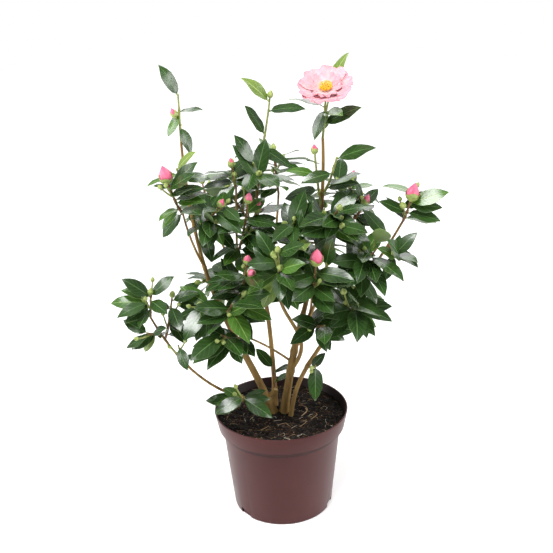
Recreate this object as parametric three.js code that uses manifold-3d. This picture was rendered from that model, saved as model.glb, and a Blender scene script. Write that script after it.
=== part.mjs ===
// A potted camellia shrub: brown nursery pot, soil, four stems, their boughs, and forty masses of foliage.
// Millimetres. +Z is up, -Y is the front, and the origin is the centre of the pot's flat underside.
import * as THREE from "three";
import { mergeVertices } from "three/addons/utils/BufferGeometryUtils.js";
import Module from "manifold-3d";

const wasm = await Module();
wasm.setup();

// ---------------------------------------------------------------- driving dimensions

const CLEAR = 0.3; // the gap that each solid keeps to the one that carries it
const TIDY = 0.02; // slivers that a cut leaves are merged away under this size
const SOIL_LEVEL = 165;

const POT = {
  height: 180,
  baseRadius: 85,
  shoulderRadius: 99.5, // the wall just under the rim band
  bandRadius: 107.5, // the rim band at its lower edge
  rimRadius: 113,
  bandHeight: 30,
  stepHeight: 10, // the slope between the wall and the band
  wall: 2.4,
  corner: 3,
  facets: 36,
};
const DRAIN = { count: 3, first: -50, width: 24, height: 11, depth: 14 }; // notches, degrees from the front

// Stems stand on the soil at `foot`. Boughs leave the limb `on` at the share `at` of its length, 1 being its
// tip. `bow` is how far the middle stands off the straight line to `tip`, `sway` the half width of an S-bend
// along X, and `thick` the radius at the two ends. `flare` is the extra radius where a stem meets the soil.
const LIMBS = {
  stem_left:
    { foot: [-12, 4], tip: [-111, -15, 423], bow: [-2, 0, 0], sway: 2, thick: [6.8, 3.6], flare: 1.8 },
  stem_centre: { foot: [5, 4], tip: [30, 0, 312], bow: [-1, 0, 0], thick: [7.6, 5], flare: 1.4 },
  stem_right:
    { foot: [16, -10], tip: [123, -10, 393], bow: [-9, 0, 5], sway: -6, thick: [3.8, 2.9], flare: 0.8 },
  stem_back: { foot: [-10, 28], tip: [-26, 44, 400], bow: [4, 4, 0], thick: [4.4, 3.3], flare: 1.6 },
  bough_left_tall: { on: "stem_left", at: 1, tip: [-141, 0, 640], bow: [-6, 0, 0], thick: [3.2, 1.9] },
  bough_left_outer:
    { on: "bough_left_tall", at: 0.08, tip: [-142, -32, 535], bow: [-3, -2, 0], thick: [2.1, 1.5] },
  bough_inner_left: { on: "stem_left", at: 0.5, tip: [-61, 15, 560], bow: [-2, 4, 0], thick: [2.6, 1.6] },
  bough_mid_left: { on: "stem_back", at: 1, tip: [-20, 30, 615], bow: [-8, 0, 0], thick: [3.2, 1.9] },
  bough_flower: { on: "stem_centre", at: 1, tip: [75, 0, 640], bow: [14, 8, 0], thick: [4.4, 2.2] },
  bough_twist:
    { on: "stem_centre", at: 0.55, tip: [1, -65, 443], bow: [14, 0, 0], sway: 12, thick: [3.6, 2.3] },
  bough_front_right:
    { on: "bough_flower", at: 0.06, tip: [52, -60, 400], bow: [4, -6, -6], thick: [2.6, 1.8] },
  bough_thin_left: { on: "stem_centre", at: 0.66, tip: [-56, -40, 331], bow: [0, 0, 4], thick: [2.1, 1.5] },
  bough_right_out: { on: "stem_right", at: 1, tip: [194, -25, 507], bow: [2, 0, -3], thick: [2.6, 1.8] },
  bough_right_up: { on: "stem_right", at: 0.92, tip: [120, 5, 506], bow: [-3, 4, 0], thick: [2.3, 1.6] },
  bough_low: { on: "stem_left", at: 0.1, tip: [-203, -45, 371], bow: [-12, 0, -37], thick: [2.7, 1.7] },
  bough_back_left: { on: "stem_back", at: 0.7, tip: [-105, 120, 470], bow: [-8, 8, -8], thick: [2.9, 1.8] },
  bough_back_mid: { on: "stem_back", at: 0.86, tip: [6, 128, 520], bow: [4, 12, -6], thick: [2.7, 1.8] },
  bough_back_right:
    { on: "stem_centre", at: 0.8, tip: [104, 112, 470], bow: [8, 10, -10], thick: [3, 1.8] },
};

// Masses of foliage, front and sides first, then the back. Each grows from limb `on` at `at` along one stem
// to `tip`. `leaves` counts those on that stem, and `leaf` is the length of a full one. On the open sprays it
// lists each leaf instead: its share of the stem, degrees round it (0 is left of an upright stem, 90 behind,
// 180 right, 270 in front), its length, degrees off the stem, and for a few how far it rolls to one side.
// `shoots` counts the side twigs of three leaves and a green bud, `side` adds one that ends in the bud it
// names, and `twig` lists the leaves of each. `end` is what closes the stem: a bud, green unless it says
// otherwise, the flower, or a leaf. `reach` and `turn` set the length of the side twigs and the way the first
// one points, in degrees round the stem.
const MASSES = {
  foliage_left_top: {
    on: "bough_left_tall", at: 1, tip: [-141, 0, 712], end: "leaf", side: "tipped", reach: 12, turn: 330,
    leaves: [[0.97, 340, 52, 22], [0.72, 200, 38, 72], [0.68, 330, 38, 140], [0.42, 220, 44, 145]], twig: [],
  },
  foliage_left_upper: {
    on: "bough_left_tall", at: 0.72, tip: [-148, -24, 604], end: "leaf",
    leaves: [[0.95, 190, 46, 45], [0.7, 0, 52, 75], [0.45, 20, 50, 105], [0.5, 200, 44, 100]],
  },
  foliage_left_outer: {
    on: "bough_left_outer", at: 1, tip: [-159, -50, 588], end: "pink",
    leaves: [
      [0.85, 185, 60, 48, 0.6], [0.93, 0, 24, 60], [0.5, 200, 48, 88], [0.05, 352, 52, 100, -0.6],
      [0.3, 330, 40, 95], [0.2, 180, 52, 70],
    ],
  },
  foliage_left_inner: {
    on: "bough_left_tall", at: 0.38, tip: [-86, -42, 548], end: "tipped",
    leaves: [
      [0.04, 355, 46, 98], [0.25, 200, 60, 92], [0.4, 330, 54, 95], [0.5, 190, 62, 80], [0.62, 260, 56, 85],
      [0.75, 20, 52, 75], [0.84, 170, 56, 62], [0.92, 300, 46, 62],
    ],
  },
  foliage_inner_top: {
    on: "bough_inner_left", at: 1, tip: [-66, 12, 594], end: "tipped",
    leaves: [[0.7, 0, 56, 78], [0.5, 220, 46, 92], [0.85, 150, 42, 60], [0.25, 320, 50, 105]],
  },
  foliage_pink_pair: {
    on: "bough_inner_left", at: 0.6, tip: [-42, -36, 550],
    leaves: 8, leaf: 58, end: "rose", side: "rose",
  },
  foliage_mid_top: {
    on: "bough_mid_left", at: 1, tip: [-4, 25, 698],
    leaves: [
      [0.95, 350, 56, 48, -0.9], [0.82, 190, 56, 66, 0.5], [0.42, 345, 56, 38, -1], [0.06, 345, 54, 118],
      [0.1, 200, 56, 100],
    ],
  },
  foliage_mid_upper: {
    on: "bough_mid_left", at: 0.72, tip: [-32, -8, 606],
    leaves: 7, leaf: 58, end: "leaf", shoots: 1,
  },
  foliage_flower: {
    on: "bough_flower", at: 1, tip: [80, -8, 712], end: "flower", shoots: 1, reach: 68, turn: 108,
    leaves: [
      [0.4, 200, 62, 52, 0.8], [0.64, 155, 54, 72, 0.6], [0.74, 5, 56, 70], [0.7, 325, 48, 150],
      [0.66, 215, 42, 145],
    ],
    twig: [[0.97, 190, 52, 16], [0.8, 10, 40, 60]],
  },
  foliage_flower_right: {
    on: "bough_flower", at: 0.72, tip: [94, -30, 616], end: "leaf",
    leaves: [[0.97, 190, 62, 45], [0.4, 185, 60, 30], [0.3, 90, 52, 40], [0.7, 330, 50, 90]],
  },
  foliage_flower_front: {
    on: "bough_flower", at: 0.6, tip: [94, -64, 545],
    leaves: 7, leaf: 62, shoots: 1,
  },
  foliage_flower_left: {
    on: "bough_flower", at: 0.66, tip: [62, -14, 618], end: "tipped",
    leaves: [[0.88, 350, 58, 98], [0.6, 20, 54, 84], [0.45, 335, 64, 104], [0.7, 170, 48, 60]],
  },
  foliage_centre_upper: {
    on: "bough_flower", at: 0.48, tip: [16, -48, 516],
    leaves: 8, leaf: 62, side: "green",
  },
  foliage_right_top: {
    on: "bough_right_up", at: 1, tip: [138, 0, 532], end: "rose",
    leaves: [
      [0.9, 350, 48, 30], [0.85, 200, 62, 104], [0.6, 245, 64, 122], [0.4, 300, 58, 112],
      [0.3, 20, 52, 70],
    ],
  },
  foliage_right_outer: {
    on: "bough_right_out", at: 1, tip: [206, -34, 546], end: "pink", side: "green", reach: 12, turn: 340,
    leaves: [[0.93, 188, 60, 52, 0.6], [0.6, 8, 46, 80], [0.3, 345, 44, 62]], twig: [],
  },
  foliage_right_lower: {
    on: "bough_right_out", at: 0.72, tip: [188, -60, 460], end: "leaf", side: "rose", reach: 14, turn: 290,
    leaves: [
      [0.97, 350, 60, 50], [0.2, 0, 56, 30], [0.7, 285, 46, 75], [0.5, 180, 44, 50],
    ],
    twig: [[0.6, 330, 30, 60]],
  },
  foliage_right_mid: {
    on: "bough_right_up", at: 0.4, tip: [152, -62, 480],
    leaves: 9, leaf: 66, end: "leaf", shoots: 1,
  },
  foliage_right_low: {
    on: "stem_right", at: 0.84, tip: [124, -64, 392],
    leaves: 8, leaf: 62, end: "leaf", shoots: 1,
  },
  foliage_centre_right: {
    on: "bough_flower", at: 0.1, tip: [72, -72, 360],
    leaves: 7, leaf: 60, end: "leaf",
  },
  foliage_centre_bud: {
    on: "bough_front_right", at: 1, tip: [58, -90, 466],
    leaves: 9, leaf: 60, end: "pink", shoots: 1,
  },
  foliage_centre_front: {
    on: "bough_twist", at: 1, tip: [4, -98, 464], side: "green", shoots: 1,
    leaves: [
      [0.97, 195, 52, 32], [0.85, 350, 54, 70], [0.75, 250, 56, 85], [0.6, 190, 60, 85], [0.5, 20, 56, 80],
      [0.3, 290, 58, 100], [0.1, 340, 60, 100],
    ],
  },
  foliage_centre_left: {
    on: "bough_inner_left", at: 0.34, tip: [-46, -62, 462],
    leaves: 9, leaf: 62, end: "rose", side: "rose", shoots: 1,
  },
  foliage_left_front: {
    on: "stem_left", at: 0.78, tip: [-70, -90, 408],
    leaves: 9, leaf: 62, end: "leaf", shoots: 1,
  },
  foliage_left_side: { on: "stem_left", at: 0.84, tip: [-120, -54, 392], leaves: 7, leaf: 58 },
  foliage_left_low: {
    on: "bough_thin_left", at: 1, tip: [-90, -80, 352],
    leaves: 8, leaf: 64, end: "leaf",
  },
  foliage_branch_tip: {
    on: "bough_low", at: 1, tip: [-199, -50, 410], side: "green", reach: 14, turn: 0,
    leaves: [
      [0.95, 352, 52, 50, -0.5], [0.97, 182, 50, 40, 0.5], [0.5, 290, 46, 98], [0.12, 330, 40, 105],
      [0.3, 20, 56, 72],
    ],
    twig: [[0.9, 0, 56, 62, -0.3]],
  },
  foliage_branch_upper: {
    on: "bough_low", at: 0.86, tip: [-168, -34, 398],
    leaves: [
      [0.95, 180, 46, 60, 0.4], [0.85, 200, 52, 106], [0.6, 212, 46, 126], [0.3, 190, 42, 84, 0.5],
      [0.8, 330, 34, 80],
    ],
  },
  foliage_branch_lower: {
    on: "bough_low", at: 0.92, tip: [-205, -74, 356], end: "leaf",
    leaves: [[0.97, 55, 44, 62], [0.3, 15, 40, 84], [0.6, 200, 38, 60]],
  },
  foliage_branch_middle: {
    on: "bough_low", at: 0.66, tip: [-160, -62, 328], end: "leaf",
    leaves: [[0.95, 255, 42, 100], [0.5, 190, 26, 60]],
  },
  foliage_rim: {
    on: "bough_low", at: 0.2, tip: [-60, -74, 240], end: "leaf",
    leaves: [[0.95, 330, 52, 80], [0.9, 210, 56, 85], [0.6, 170, 46, 60], [0.4, 0, 60, 85]],
  },
  foliage_low_left: {
    on: "stem_back", at: 0.12, tip: [-12, 12, 250], end: "leaf",
    leaves: [[0.95, 352, 44, 50, -0.6], [0.8, 165, 38, 62], [0.45, 150, 36, 70]],
  },
  foliage_low_right: {
    on: "stem_right", at: 0.4, tip: [57, -60, 285], end: "leaf",
    leaves: [[0.97, 264, 55, 82, 0.15], [0.4, 100, 36, 62]],
  },
  foliage_back_left_top: {
    on: "bough_back_left", at: 1, tip: [-124, 146, 535],
    leaves: 9, leaf: 58, end: "tipped", shoots: 1,
  },
  foliage_back_left_low: {
    on: "bough_back_left", at: 0.55, tip: [-122, 106, 376],
    leaves: 9, leaf: 58, shoots: 1,
  },
  foliage_back_mid_top: { on: "bough_back_mid", at: 1, tip: [0, 146, 590], leaves: 9, leaf: 58, shoots: 1 },
  foliage_back_mid_low: {
    on: "bough_back_mid", at: 0.35, tip: [6, 152, 400],
    leaves: 9, leaf: 60, end: "rose", shoots: 1,
  },
  foliage_back_right_top: {
    on: "bough_back_right", at: 1, tip: [132, 138, 538],
    leaves: 9, leaf: 58, end: "tipped", shoots: 1,
  },
  foliage_back_right_low: {
    on: "bough_back_right", at: 0.5, tip: [134, 100, 378],
    leaves: 9, leaf: 58, shoots: 1,
  },
  foliage_inner_back_left: {
    on: "bough_mid_left", at: 0.42, tip: [-76, 84, 542],
    leaves: 9, leaf: 56, shoots: 1,
  },
  foliage_inner_back_right: {
    on: "bough_flower", at: 0.36, tip: [74, 86, 524],
    leaves: 9, leaf: 56, shoots: 1,
  },
};

const GROWTH = {
  seed: 101,
  step: 45, // a limb is drawn with one straight length for each of these
  fade: 14, // how fast a stem's flare dies away above the soil
  spiral: 137.5, // degrees round the twig from one leaf or shoot to the next
  tries: 8, // one that has no room is turned on this many times
  turn: 47, // degrees it is turned each time
  room: 1.2, // kept between a leaf and all that isn't its own mass
  rim: 4, // how far above the pot's rim the lowest leaf keeps
  share: 10, // how much nearer to another mass's stem than to its own a leaf may lie
};
const CROWN = { middle: [0, 75], wide: 320, deep: 90 }; // an oval seen from above, that leaves face out of
const TWIG = { foot: 2, tip: 1.4, sag: 0.1, steps: 3 }; // a mass's stem: its radius at both ends
const SHOOT = {
  foot: 1.6, // its radius at both ends
  tip: 1.2,
  length: 40,
  sag: 0.06, // of its length
  leaves: 3,
  span: [0.3, 0.7], // the part of the stem that shoots leave from
  way: { forward: 0.7, out: 0.6, up: 0.25 },
};
const LEAF = {
  full: 54, // how long a full one is, where its mass doesn't say
  width: 0.44, // of its length
  widest: [0.36, 0.74], // the shares of its length between which it is broad
  taper: 0.68, // its width at the second of these, of its width at the first
  keel: 1, // how far the midrib lies under the edges
  sunk: 0.4, // the base lies this far beyond the twig's axis
  span: [0.18, 0.86], // the part of a twig that leaves grow on
  crowd: 0.75, // under 1, they stand closer together towards its tip
  tip: 0.97, // where the one at its tip leaves it
  spread: [72, 50], // degrees from the twig, for the first leaf and the last
  ahead: 22, // and for the one at its tip
  hang: 0.5, // the most that one droops
  slope: 0.5, // the share of its slope that it keeps, as leaves lean towards level
  face: { up: 1, ahead: 0.3, outward: 0.5 }, // what its face looks to: sky, twig tip, away from the crown
  roll: 0.6,
  bend: [0.08, 0.26], // how far the tip lies under the base's plane, of the length
  length: [0.84, 1.12], // from the shortest to the longest, of a full leaf
};
// Buds: length, radius and the number of sides.
const BUDS = {
  green: { length: 13, radius: 4.6, sides: 5 },
  tipped: { length: 17, radius: 5.4, sides: 5 },
  rose: { length: 20, radius: 6.6, sides: 6 },
  pink: { length: 31, radius: 10.5, sides: 8 },
};
const FLOWER = {
  petals: 9,
  radius: 42,
  depth: 13, // from the middle up to the rim
  thick: 1.6,
  ruffle: 2.5, // every other petal lies this much higher or lower
  notch: 0.17, // how deep the rim is cut in between two petals, of the radius
  rise: 58, // degrees from level to the way it looks, to the front
  lean: -0.1, // and a little to the left
  boss: { length: 15, radius: 8, sides: 6 },
};

const COLOUR = {
  pot: 0x76584f,
  soil: 0x2a1f18,
  bark: 0x96703f,
  leaf: 0x2c4f26,
};

// ---------------------------------------------------------------- arithmetic

const DEGREE = Math.PI / 180;
const UP = new THREE.Vector3(0, 0, 1);
const AWAY = new THREE.Vector3(0, 1, 0);
const vector = (xyz) => new THREE.Vector3(...xyz);
const mix = (a, b, t) => a + (b - a) * t;
const along = (from, ...steps) =>
  steps.reduce((p, [way, far]) => p.addScaledVector(way, far), from.clone());

// A seeded source of numbers from 0 to 1, the same in any language that has 32-bit integers.
function randomFrom(seed) {
  let state = seed >>> 0;
  return () => {
    state = (state + 0x6d2b79f5) >>> 0;
    let t = Math.imul(state ^ (state >>> 15), state | 1);
    t ^= t + Math.imul(t ^ (t >>> 7), t | 61);
    return ((t ^ (t >>> 14)) >>> 0) / 4294967296;
  };
}

// ---------------------------------------------------------------- solids

function solidOf(geometry) {
  geometry.deleteAttribute("normal");
  geometry.deleteAttribute("uv");
  const merged = mergeVertices(geometry, 1e-4);
  return new wasm.Manifold(
    new wasm.Mesh({
      numProp: 3,
      vertProperties: merged.attributes.position.array,
      triVerts: new Uint32Array(merged.index.array),
    }),
  );
}

function geometryOf(solid) {
  const made = solid.getMesh();
  const geometry = new THREE.BufferGeometry();
  geometry.setAttribute("position", new THREE.BufferAttribute(made.vertProperties, 3));
  geometry.setIndex(new THREE.BufferAttribute(made.triVerts, 1));
  geometry.computeVertexNormals();
  return geometry;
}

// The largest of the pieces that a cut leaves.
function largest(solid) {
  return solid.decompose().reduce((a, b) => (b.volume() > a.volume() ? b : a));
}

// ---------------------------------------------------------------- limbs

// The curve from `start` to `tip`. Its place is known at any share t, also a little past its ends.
function curve(start, { tip, bow = [0, 0, 0], sway = 0 }) {
  const end = vector(tip);
  const belly = vector(bow);
  const place = (t) =>
    start.clone().lerp(end, t).addScaledVector(belly, 4 * t * (1 - t)).add(
      new THREE.Vector3(sway * Math.sin(2 * Math.PI * t), 0, 0),
    );
  const heading = (t) => place(t + 0.01).sub(place(t - 0.01)).normalize();
  const length = start.distanceTo(end);
  return { place, heading, length };
}

// Two directions square to a limb's heading.
function across(heading) {
  const side = heading.clone().cross(AWAY).normalize();
  return { side, over: side.clone().cross(heading) };
}

// A round bar of `sides` facets that follows a curve, `spare` mm fatter and longer than its radius says.
function bar(path, radius, sides, steps, spare = 0) {
  const geometry = new THREE.CylinderGeometry(1, 1, 1, sides, steps);
  const position = geometry.attributes.position;
  const fat = spare / Math.cos(Math.PI / sides);
  for (let i = 0; i < position.count; i++) {
    const share = position.getY(i) + 0.5;
    const t = mix(-spare / path.length, 1 + spare / path.length, share);
    const { side, over } = across(path.heading(t));
    const r = radius(Math.min(Math.max(t, 0), 1)) + fat;
    const p = along(path.place(t), [side, position.getX(i) * r], [over, position.getZ(i) * r]);
    position.setXYZ(i, p.x, p.y, p.z);
  }
  return solidOf(geometry);
}

function growLimbs() {
  const limbs = {};
  for (const [name, row] of Object.entries(LIMBS)) {
    const start = row.foot
      ? new THREE.Vector3(...row.foot, SOIL_LEVEL + CLEAR)
      : limbs[row.on].path.place(row.at);
    const path = curve(start, row);
    const flare = row.flare ?? 0;
    const radius = (t) => mix(...row.thick, t) + flare * Math.exp((-t * path.length) / GROWTH.fade);
    const steps = Math.ceil(path.length / GROWTH.step) + 1;
    limbs[name] = { row, path, radius, sides: row.foot ? 8 : 6, steps };
  }
  return limbs;
}

// A limb's foot is cut to the limb that carries it, CLEAR mm off its bark. A stem's is cut flat at the soil.
function limbSolid(limbs, limb) {
  const whole = bar(limb.path, limb.radius, limb.sides, limb.steps);
  if (limb.row.foot) return levelFoot(whole);
  return cutToCarrier(whole, limbs[limb.row.on]);
}

function cutToCarrier(whole, carrier) {
  return largest(whole.subtract(bar(carrier.path, carrier.radius, carrier.sides, carrier.steps, CLEAR)));
}

function levelFoot(whole) {
  const depth = 40;
  const below = new THREE.BoxGeometry(2 * POT.rimRadius, 2 * POT.rimRadius, depth);
  below.translate(0, 0, SOIL_LEVEL + CLEAR - depth / 2);
  return largest(whole.subtract(solidOf(below)));
}

// ---------------------------------------------------------------- what takes up room

// A thing that leaves must miss, as a convex set of points with its edges, the directions its faces look in,
// and `pad`, its thickness round those points. `owner` is the mass it belongs to.
function obstacle(owner, points, faces, pad) {
  const edges = points.map((p, i) => points[(i + 1) % points.length].clone().sub(p).normalize());
  const centre = points.reduce((sum, p) => sum.add(p), new THREE.Vector3()).divideScalar(points.length);
  const reach = Math.max(...points.map((p) => p.distanceTo(centre))) + pad;
  return { owner, points, edges, faces, pad, centre, reach };
}

function obstaclesAlong(owner, path, radius, steps) {
  return Array.from({ length: steps }, (_, i) => {
    const ends = [path.place(i / steps), path.place((i + 1) / steps)];
    return obstacle(owner, ends, [], radius(i / steps));
  });
}

// The room between two obstacles, in the direction that shows the most of it.
function roomBetween(a, b) {
  const ways = [...a.faces, ...b.faces];
  for (const e of a.edges) for (const f of b.edges) ways.push(e.clone().cross(f));
  let room = -Infinity;
  for (const way of ways) {
    const size = way.length();
    if (size < 1e-6) continue;
    const [lowA, highA] = span(a.points, way);
    const [lowB, highB] = span(b.points, way);
    room = Math.max(room, Math.max(lowA - highB, lowB - highA) / size);
  }
  return room - a.pad - b.pad;
}

function span(points, way) {
  const far = points.map((p) => p.dot(way));
  return [Math.min(...far), Math.max(...far)];
}

function isFree(thing, taken, room) {
  return taken.every(
    (other) =>
      other.owner === thing.owner ||
      thing.centre.distanceTo(other.centre) > thing.reach + other.reach + room ||
      roomBetween(thing, other) > room,
  );
}

// A blade stays above the pot's rim, and its middle lies nearer to its own mass's stem than to any other.
function keepsItsSpace(blade, masses) {
  if (blade.outline.some((p) => p.z < POT.height + GROWTH.rim)) return false;
  const far = (mass) => Math.min(...mass.marks.map((p) => p.distanceTo(blade.thing.centre)));
  const own = far(masses[blade.owner]);
  return Object.values(masses).every((mass) => far(mass) >= own - GROWTH.share);
}

// ---------------------------------------------------------------- leaves, buds and flower

// A blade is a thin closed shape of eight faces: six points round it, four faces above them, and four below
// that meet along a keel from its base to its tip.
function blade(owner, root, way, face, length, bend) {
  const lift = face.clone().addScaledVector(way, -face.dot(way)).normalize();
  const side = way.clone().cross(lift);
  const at = (out, wide) => {
    const height = (wide ? LEAF.keel : 0) - bend * out * out * length;
    return along(root, [way, out * length], [side, wide * LEAF.width * length], [lift, height]);
  };
  const [near, far] = LEAF.widest;
  const broad = 0.5 * LEAF.taper;
  const outline = [at(0, 0), at(near, 0.5), at(far, broad), at(1, 0), at(far, -broad), at(near, -0.5)];
  const free = [at(0.24, 0), ...outline.slice(1)];
  const normals = free.map((p, i) => free[(i + 1) % 6].clone().sub(p).cross(lift).normalize());
  return { owner, outline, thing: obstacle(owner, free, [lift, ...normals], LEAF.keel) };
}

const ABOVE = [0, 1, 5, 1, 2, 4, 1, 4, 5, 2, 3, 4];
const BELOW = [0, 5, 4, 0, 4, 3, 0, 3, 2, 0, 2, 1];

function bladeSolid({ outline }) {
  const geometry = new THREE.BufferGeometry().setFromPoints(outline);
  geometry.setIndex([...ABOVE, ...BELOW]);
  return solidOf(geometry);
}

// A leaf leaves its twig at `spread` degrees, towards `round` degrees round it, with its face to the light.
function leafAt(mass, twig, draw, round) {
  const heading = twig.path.heading(draw.share);
  const { side, over } = across(heading);
  const turn = round * DEGREE;
  const outward = along(new THREE.Vector3(), [side, Math.cos(turn)], [over, Math.sin(turn)]);
  const way = along(
    new THREE.Vector3(),
    [heading, Math.cos(draw.spread * DEGREE)],
    [outward, Math.sin(draw.spread * DEGREE)],
    [UP, -draw.hang],
  );
  way.z *= draw.slope;
  way.normalize();
  const base = twig.path.place(draw.share);
  const { up, ahead, outward: open } = LEAF.face;
  const [middleX, middleY] = CROWN.middle;
  const light = new THREE.Vector3((base.x - middleX) / CROWN.wide, (base.y - middleY) / CROWN.deep, 0);
  const sideways = [way.clone().cross(UP), draw.roll];
  const face = along(new THREE.Vector3(), [UP, up], [heading, ahead], [light, open], sideways);
  const root = along(base, [way, -LEAF.sunk]);
  return blade(mass.name, root, way, face, draw.length, draw.bend);
}

// A bud: a pointed lathe shape whose foot is sunk in the tip of its twig.
function budSolid(bud, root, way) {
  const profile = [
    [0, -2],
    [0.72, 0.12],
    [1, 0.42],
    [0.62, 0.76],
    [0, 1],
  ].map(([r, h], i) => new THREE.Vector2(r * bud.radius, i ? h * bud.length : h));
  const kept = bud.sides > 5 ? profile : profile.filter((_, i) => i !== 1);
  const geometry = new THREE.LatheGeometry(kept, bud.sides);
  geometry.applyQuaternion(new THREE.Quaternion().setFromUnitVectors(AWAY, way));
  geometry.translate(root.x, root.y, root.z);
  return solidOf(geometry);
}

// The open flower: one shallow bowl whose rim is scalloped into petals, with a boss of stamens in the middle.
function flowerSolid(root, way) {
  const { petals, radius, depth, thick } = FLOWER;
  const bowl = (share, lift) => new THREE.Vector2(share * radius, depth * share * share + lift);
  const under = [bowl(0, -thick), bowl(0.5, 0), bowl(1, 0)];
  const profile = [...under, bowl(1, thick), bowl(0.5, thick), bowl(0, thick)];
  const geometry = new THREE.LatheGeometry(profile, 3 * petals, Math.PI / petals);
  const position = geometry.attributes.position;
  for (let i = 0; i < position.count; i++) {
    const angle = Math.atan2(position.getX(i), position.getZ(i));
    const out = Math.hypot(position.getX(i), position.getZ(i)) / radius;
    const petal = Math.round((angle * petals) / (2 * Math.PI));
    const scallop = 1 - FLOWER.notch * out * (1 - Math.abs(Math.cos((angle * petals) / 2)));
    const lift = out * out * FLOWER.ruffle * (petal % 2 ? 1 : -1);
    position.setXYZ(i, position.getX(i) * scallop, position.getY(i) + lift, position.getZ(i) * scallop);
  }
  geometry.applyQuaternion(new THREE.Quaternion().setFromUnitVectors(AWAY, way));
  geometry.translate(root.x, root.y, root.z);
  return solidOf(geometry).add(budSolid(FLOWER.boss, root, way));
}

// ---------------------------------------------------------------- the growth rule

function growMasses(limbs) {
  const taken = Object.values(limbs).flatMap((limb) => obstaclesAlong("", limb.path, limb.radius, 8));
  const masses = {};
  Object.entries(MASSES).forEach(([name, row], i) => {
    const start = limbs[row.on].path.place(row.at);
    const sag = -TWIG.sag * start.distanceTo(vector(row.tip));
    const path = curve(start, { tip: row.tip, bow: [0, 0, sag] });
    const radius = (t) => mix(TWIG.foot, TWIG.tip, t);
    const marks = [0.3, 0.65, 1].map(path.place);
    masses[name] = { name, row, random: randomFrom(GROWTH.seed + 7 * i), stem: { path, radius }, marks };
    masses[name].twigs = [];
    masses[name].buds = [];
    masses[name].blades = [];
    taken.push(...obstaclesAlong(name, path, radius, TWIG.steps));
  });
  for (const mass of Object.values(masses)) growBuds(mass, taken);
  for (const mass of Object.values(masses)) growLeaves(mass, masses, taken);
  return masses;
}

// The bud or flower at the tip, the side bud on a twig of its own, and the side shoots.
function growBuds(mass, taken) {
  const { name, row, stem, random } = mass;
  const end = row.end ?? "green";
  const tip = stem.path.place(1);
  if (end === "flower") {
    const rise = FLOWER.rise * DEGREE;
    const way = new THREE.Vector3(FLOWER.lean, -Math.cos(rise), Math.sin(rise)).normalize();
    mass.flower = { root: tip, way };
    const rim = flowerRim(tip, way);
    taken.push(obstacle(name, rim, [way], FLOWER.ruffle + FLOWER.depth / 2));
  } else if (end !== "leaf") {
    addBud(mass, taken, BUDS[end], tip, stem.path.heading(1));
  }
  const wanted = [...Array(row.shoots ?? 0).fill("green"), ...(row.side ? [row.side] : [])];
  wanted.forEach((kind, i) => {
    const share = mix(...SHOOT.span, wanted.length > 1 ? i / (wanted.length - 1) : 0.5);
    const first = (row.turn ?? 360 * random()) + GROWTH.spiral * i;
    const length = (row.reach ?? SHOOT.length) * mix(0.85, 1.1, random());
    for (let turn = 0; turn < GROWTH.tries; turn++) {
      const twig = shootAt(stem, share, first + turn * GROWTH.turn, length);
      const bud = BUDS[kind];
      const way = twig.path.heading(1);
      const far = along(twig.path.place(1), [way, bud.length]);
      const thing = obstacle(name, [twig.path.place(0.3), far], [], bud.radius);
      if (turn < GROWTH.tries - 1 && !isFree(thing, taken, GROWTH.room)) continue;
      mass.twigs.push(twig);
      taken.push(...obstaclesAlong(name, twig.path, twig.radius, 2));
      addBud(mass, taken, bud, twig.path.place(1), way);
      break;
    }
  });
}

// Eight points round the flower's rim, half way up its depth.
function flowerRim(root, way) {
  const { side, over } = across(way);
  return Array.from({ length: 8 }, (_, i) => {
    const angle = (i * Math.PI) / 4;
    const out = [side, FLOWER.radius * Math.cos(angle)];
    return along(root, out, [over, FLOWER.radius * Math.sin(angle)], [way, FLOWER.depth / 2]);
  });
}

function addBud(mass, taken, bud, root, way) {
  mass.buds.push({ bud, root, way });
  const tip = along(root, [way, bud.length]);
  taken.push(obstacle(mass.name, [root, tip], [], bud.radius));
}

function shootAt(stem, share, round, length) {
  const heading = stem.path.heading(share);
  const { side, over } = across(heading);
  const { forward, out, up } = SHOOT.way;
  const turn = round * DEGREE;
  const outward = [side, out * Math.cos(turn)];
  const sideways = [over, out * Math.sin(turn)];
  const way = along(new THREE.Vector3(), [heading, forward], outward, sideways, [UP, up]).normalize();
  const start = stem.path.place(share);
  const tip = along(start, [way, length]).toArray();
  const path = curve(start, { tip, bow: [0, 0, -SHOOT.sag * length] });
  return { path, radius: (t) => mix(SHOOT.foot, SHOOT.tip, t) };
}

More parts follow.
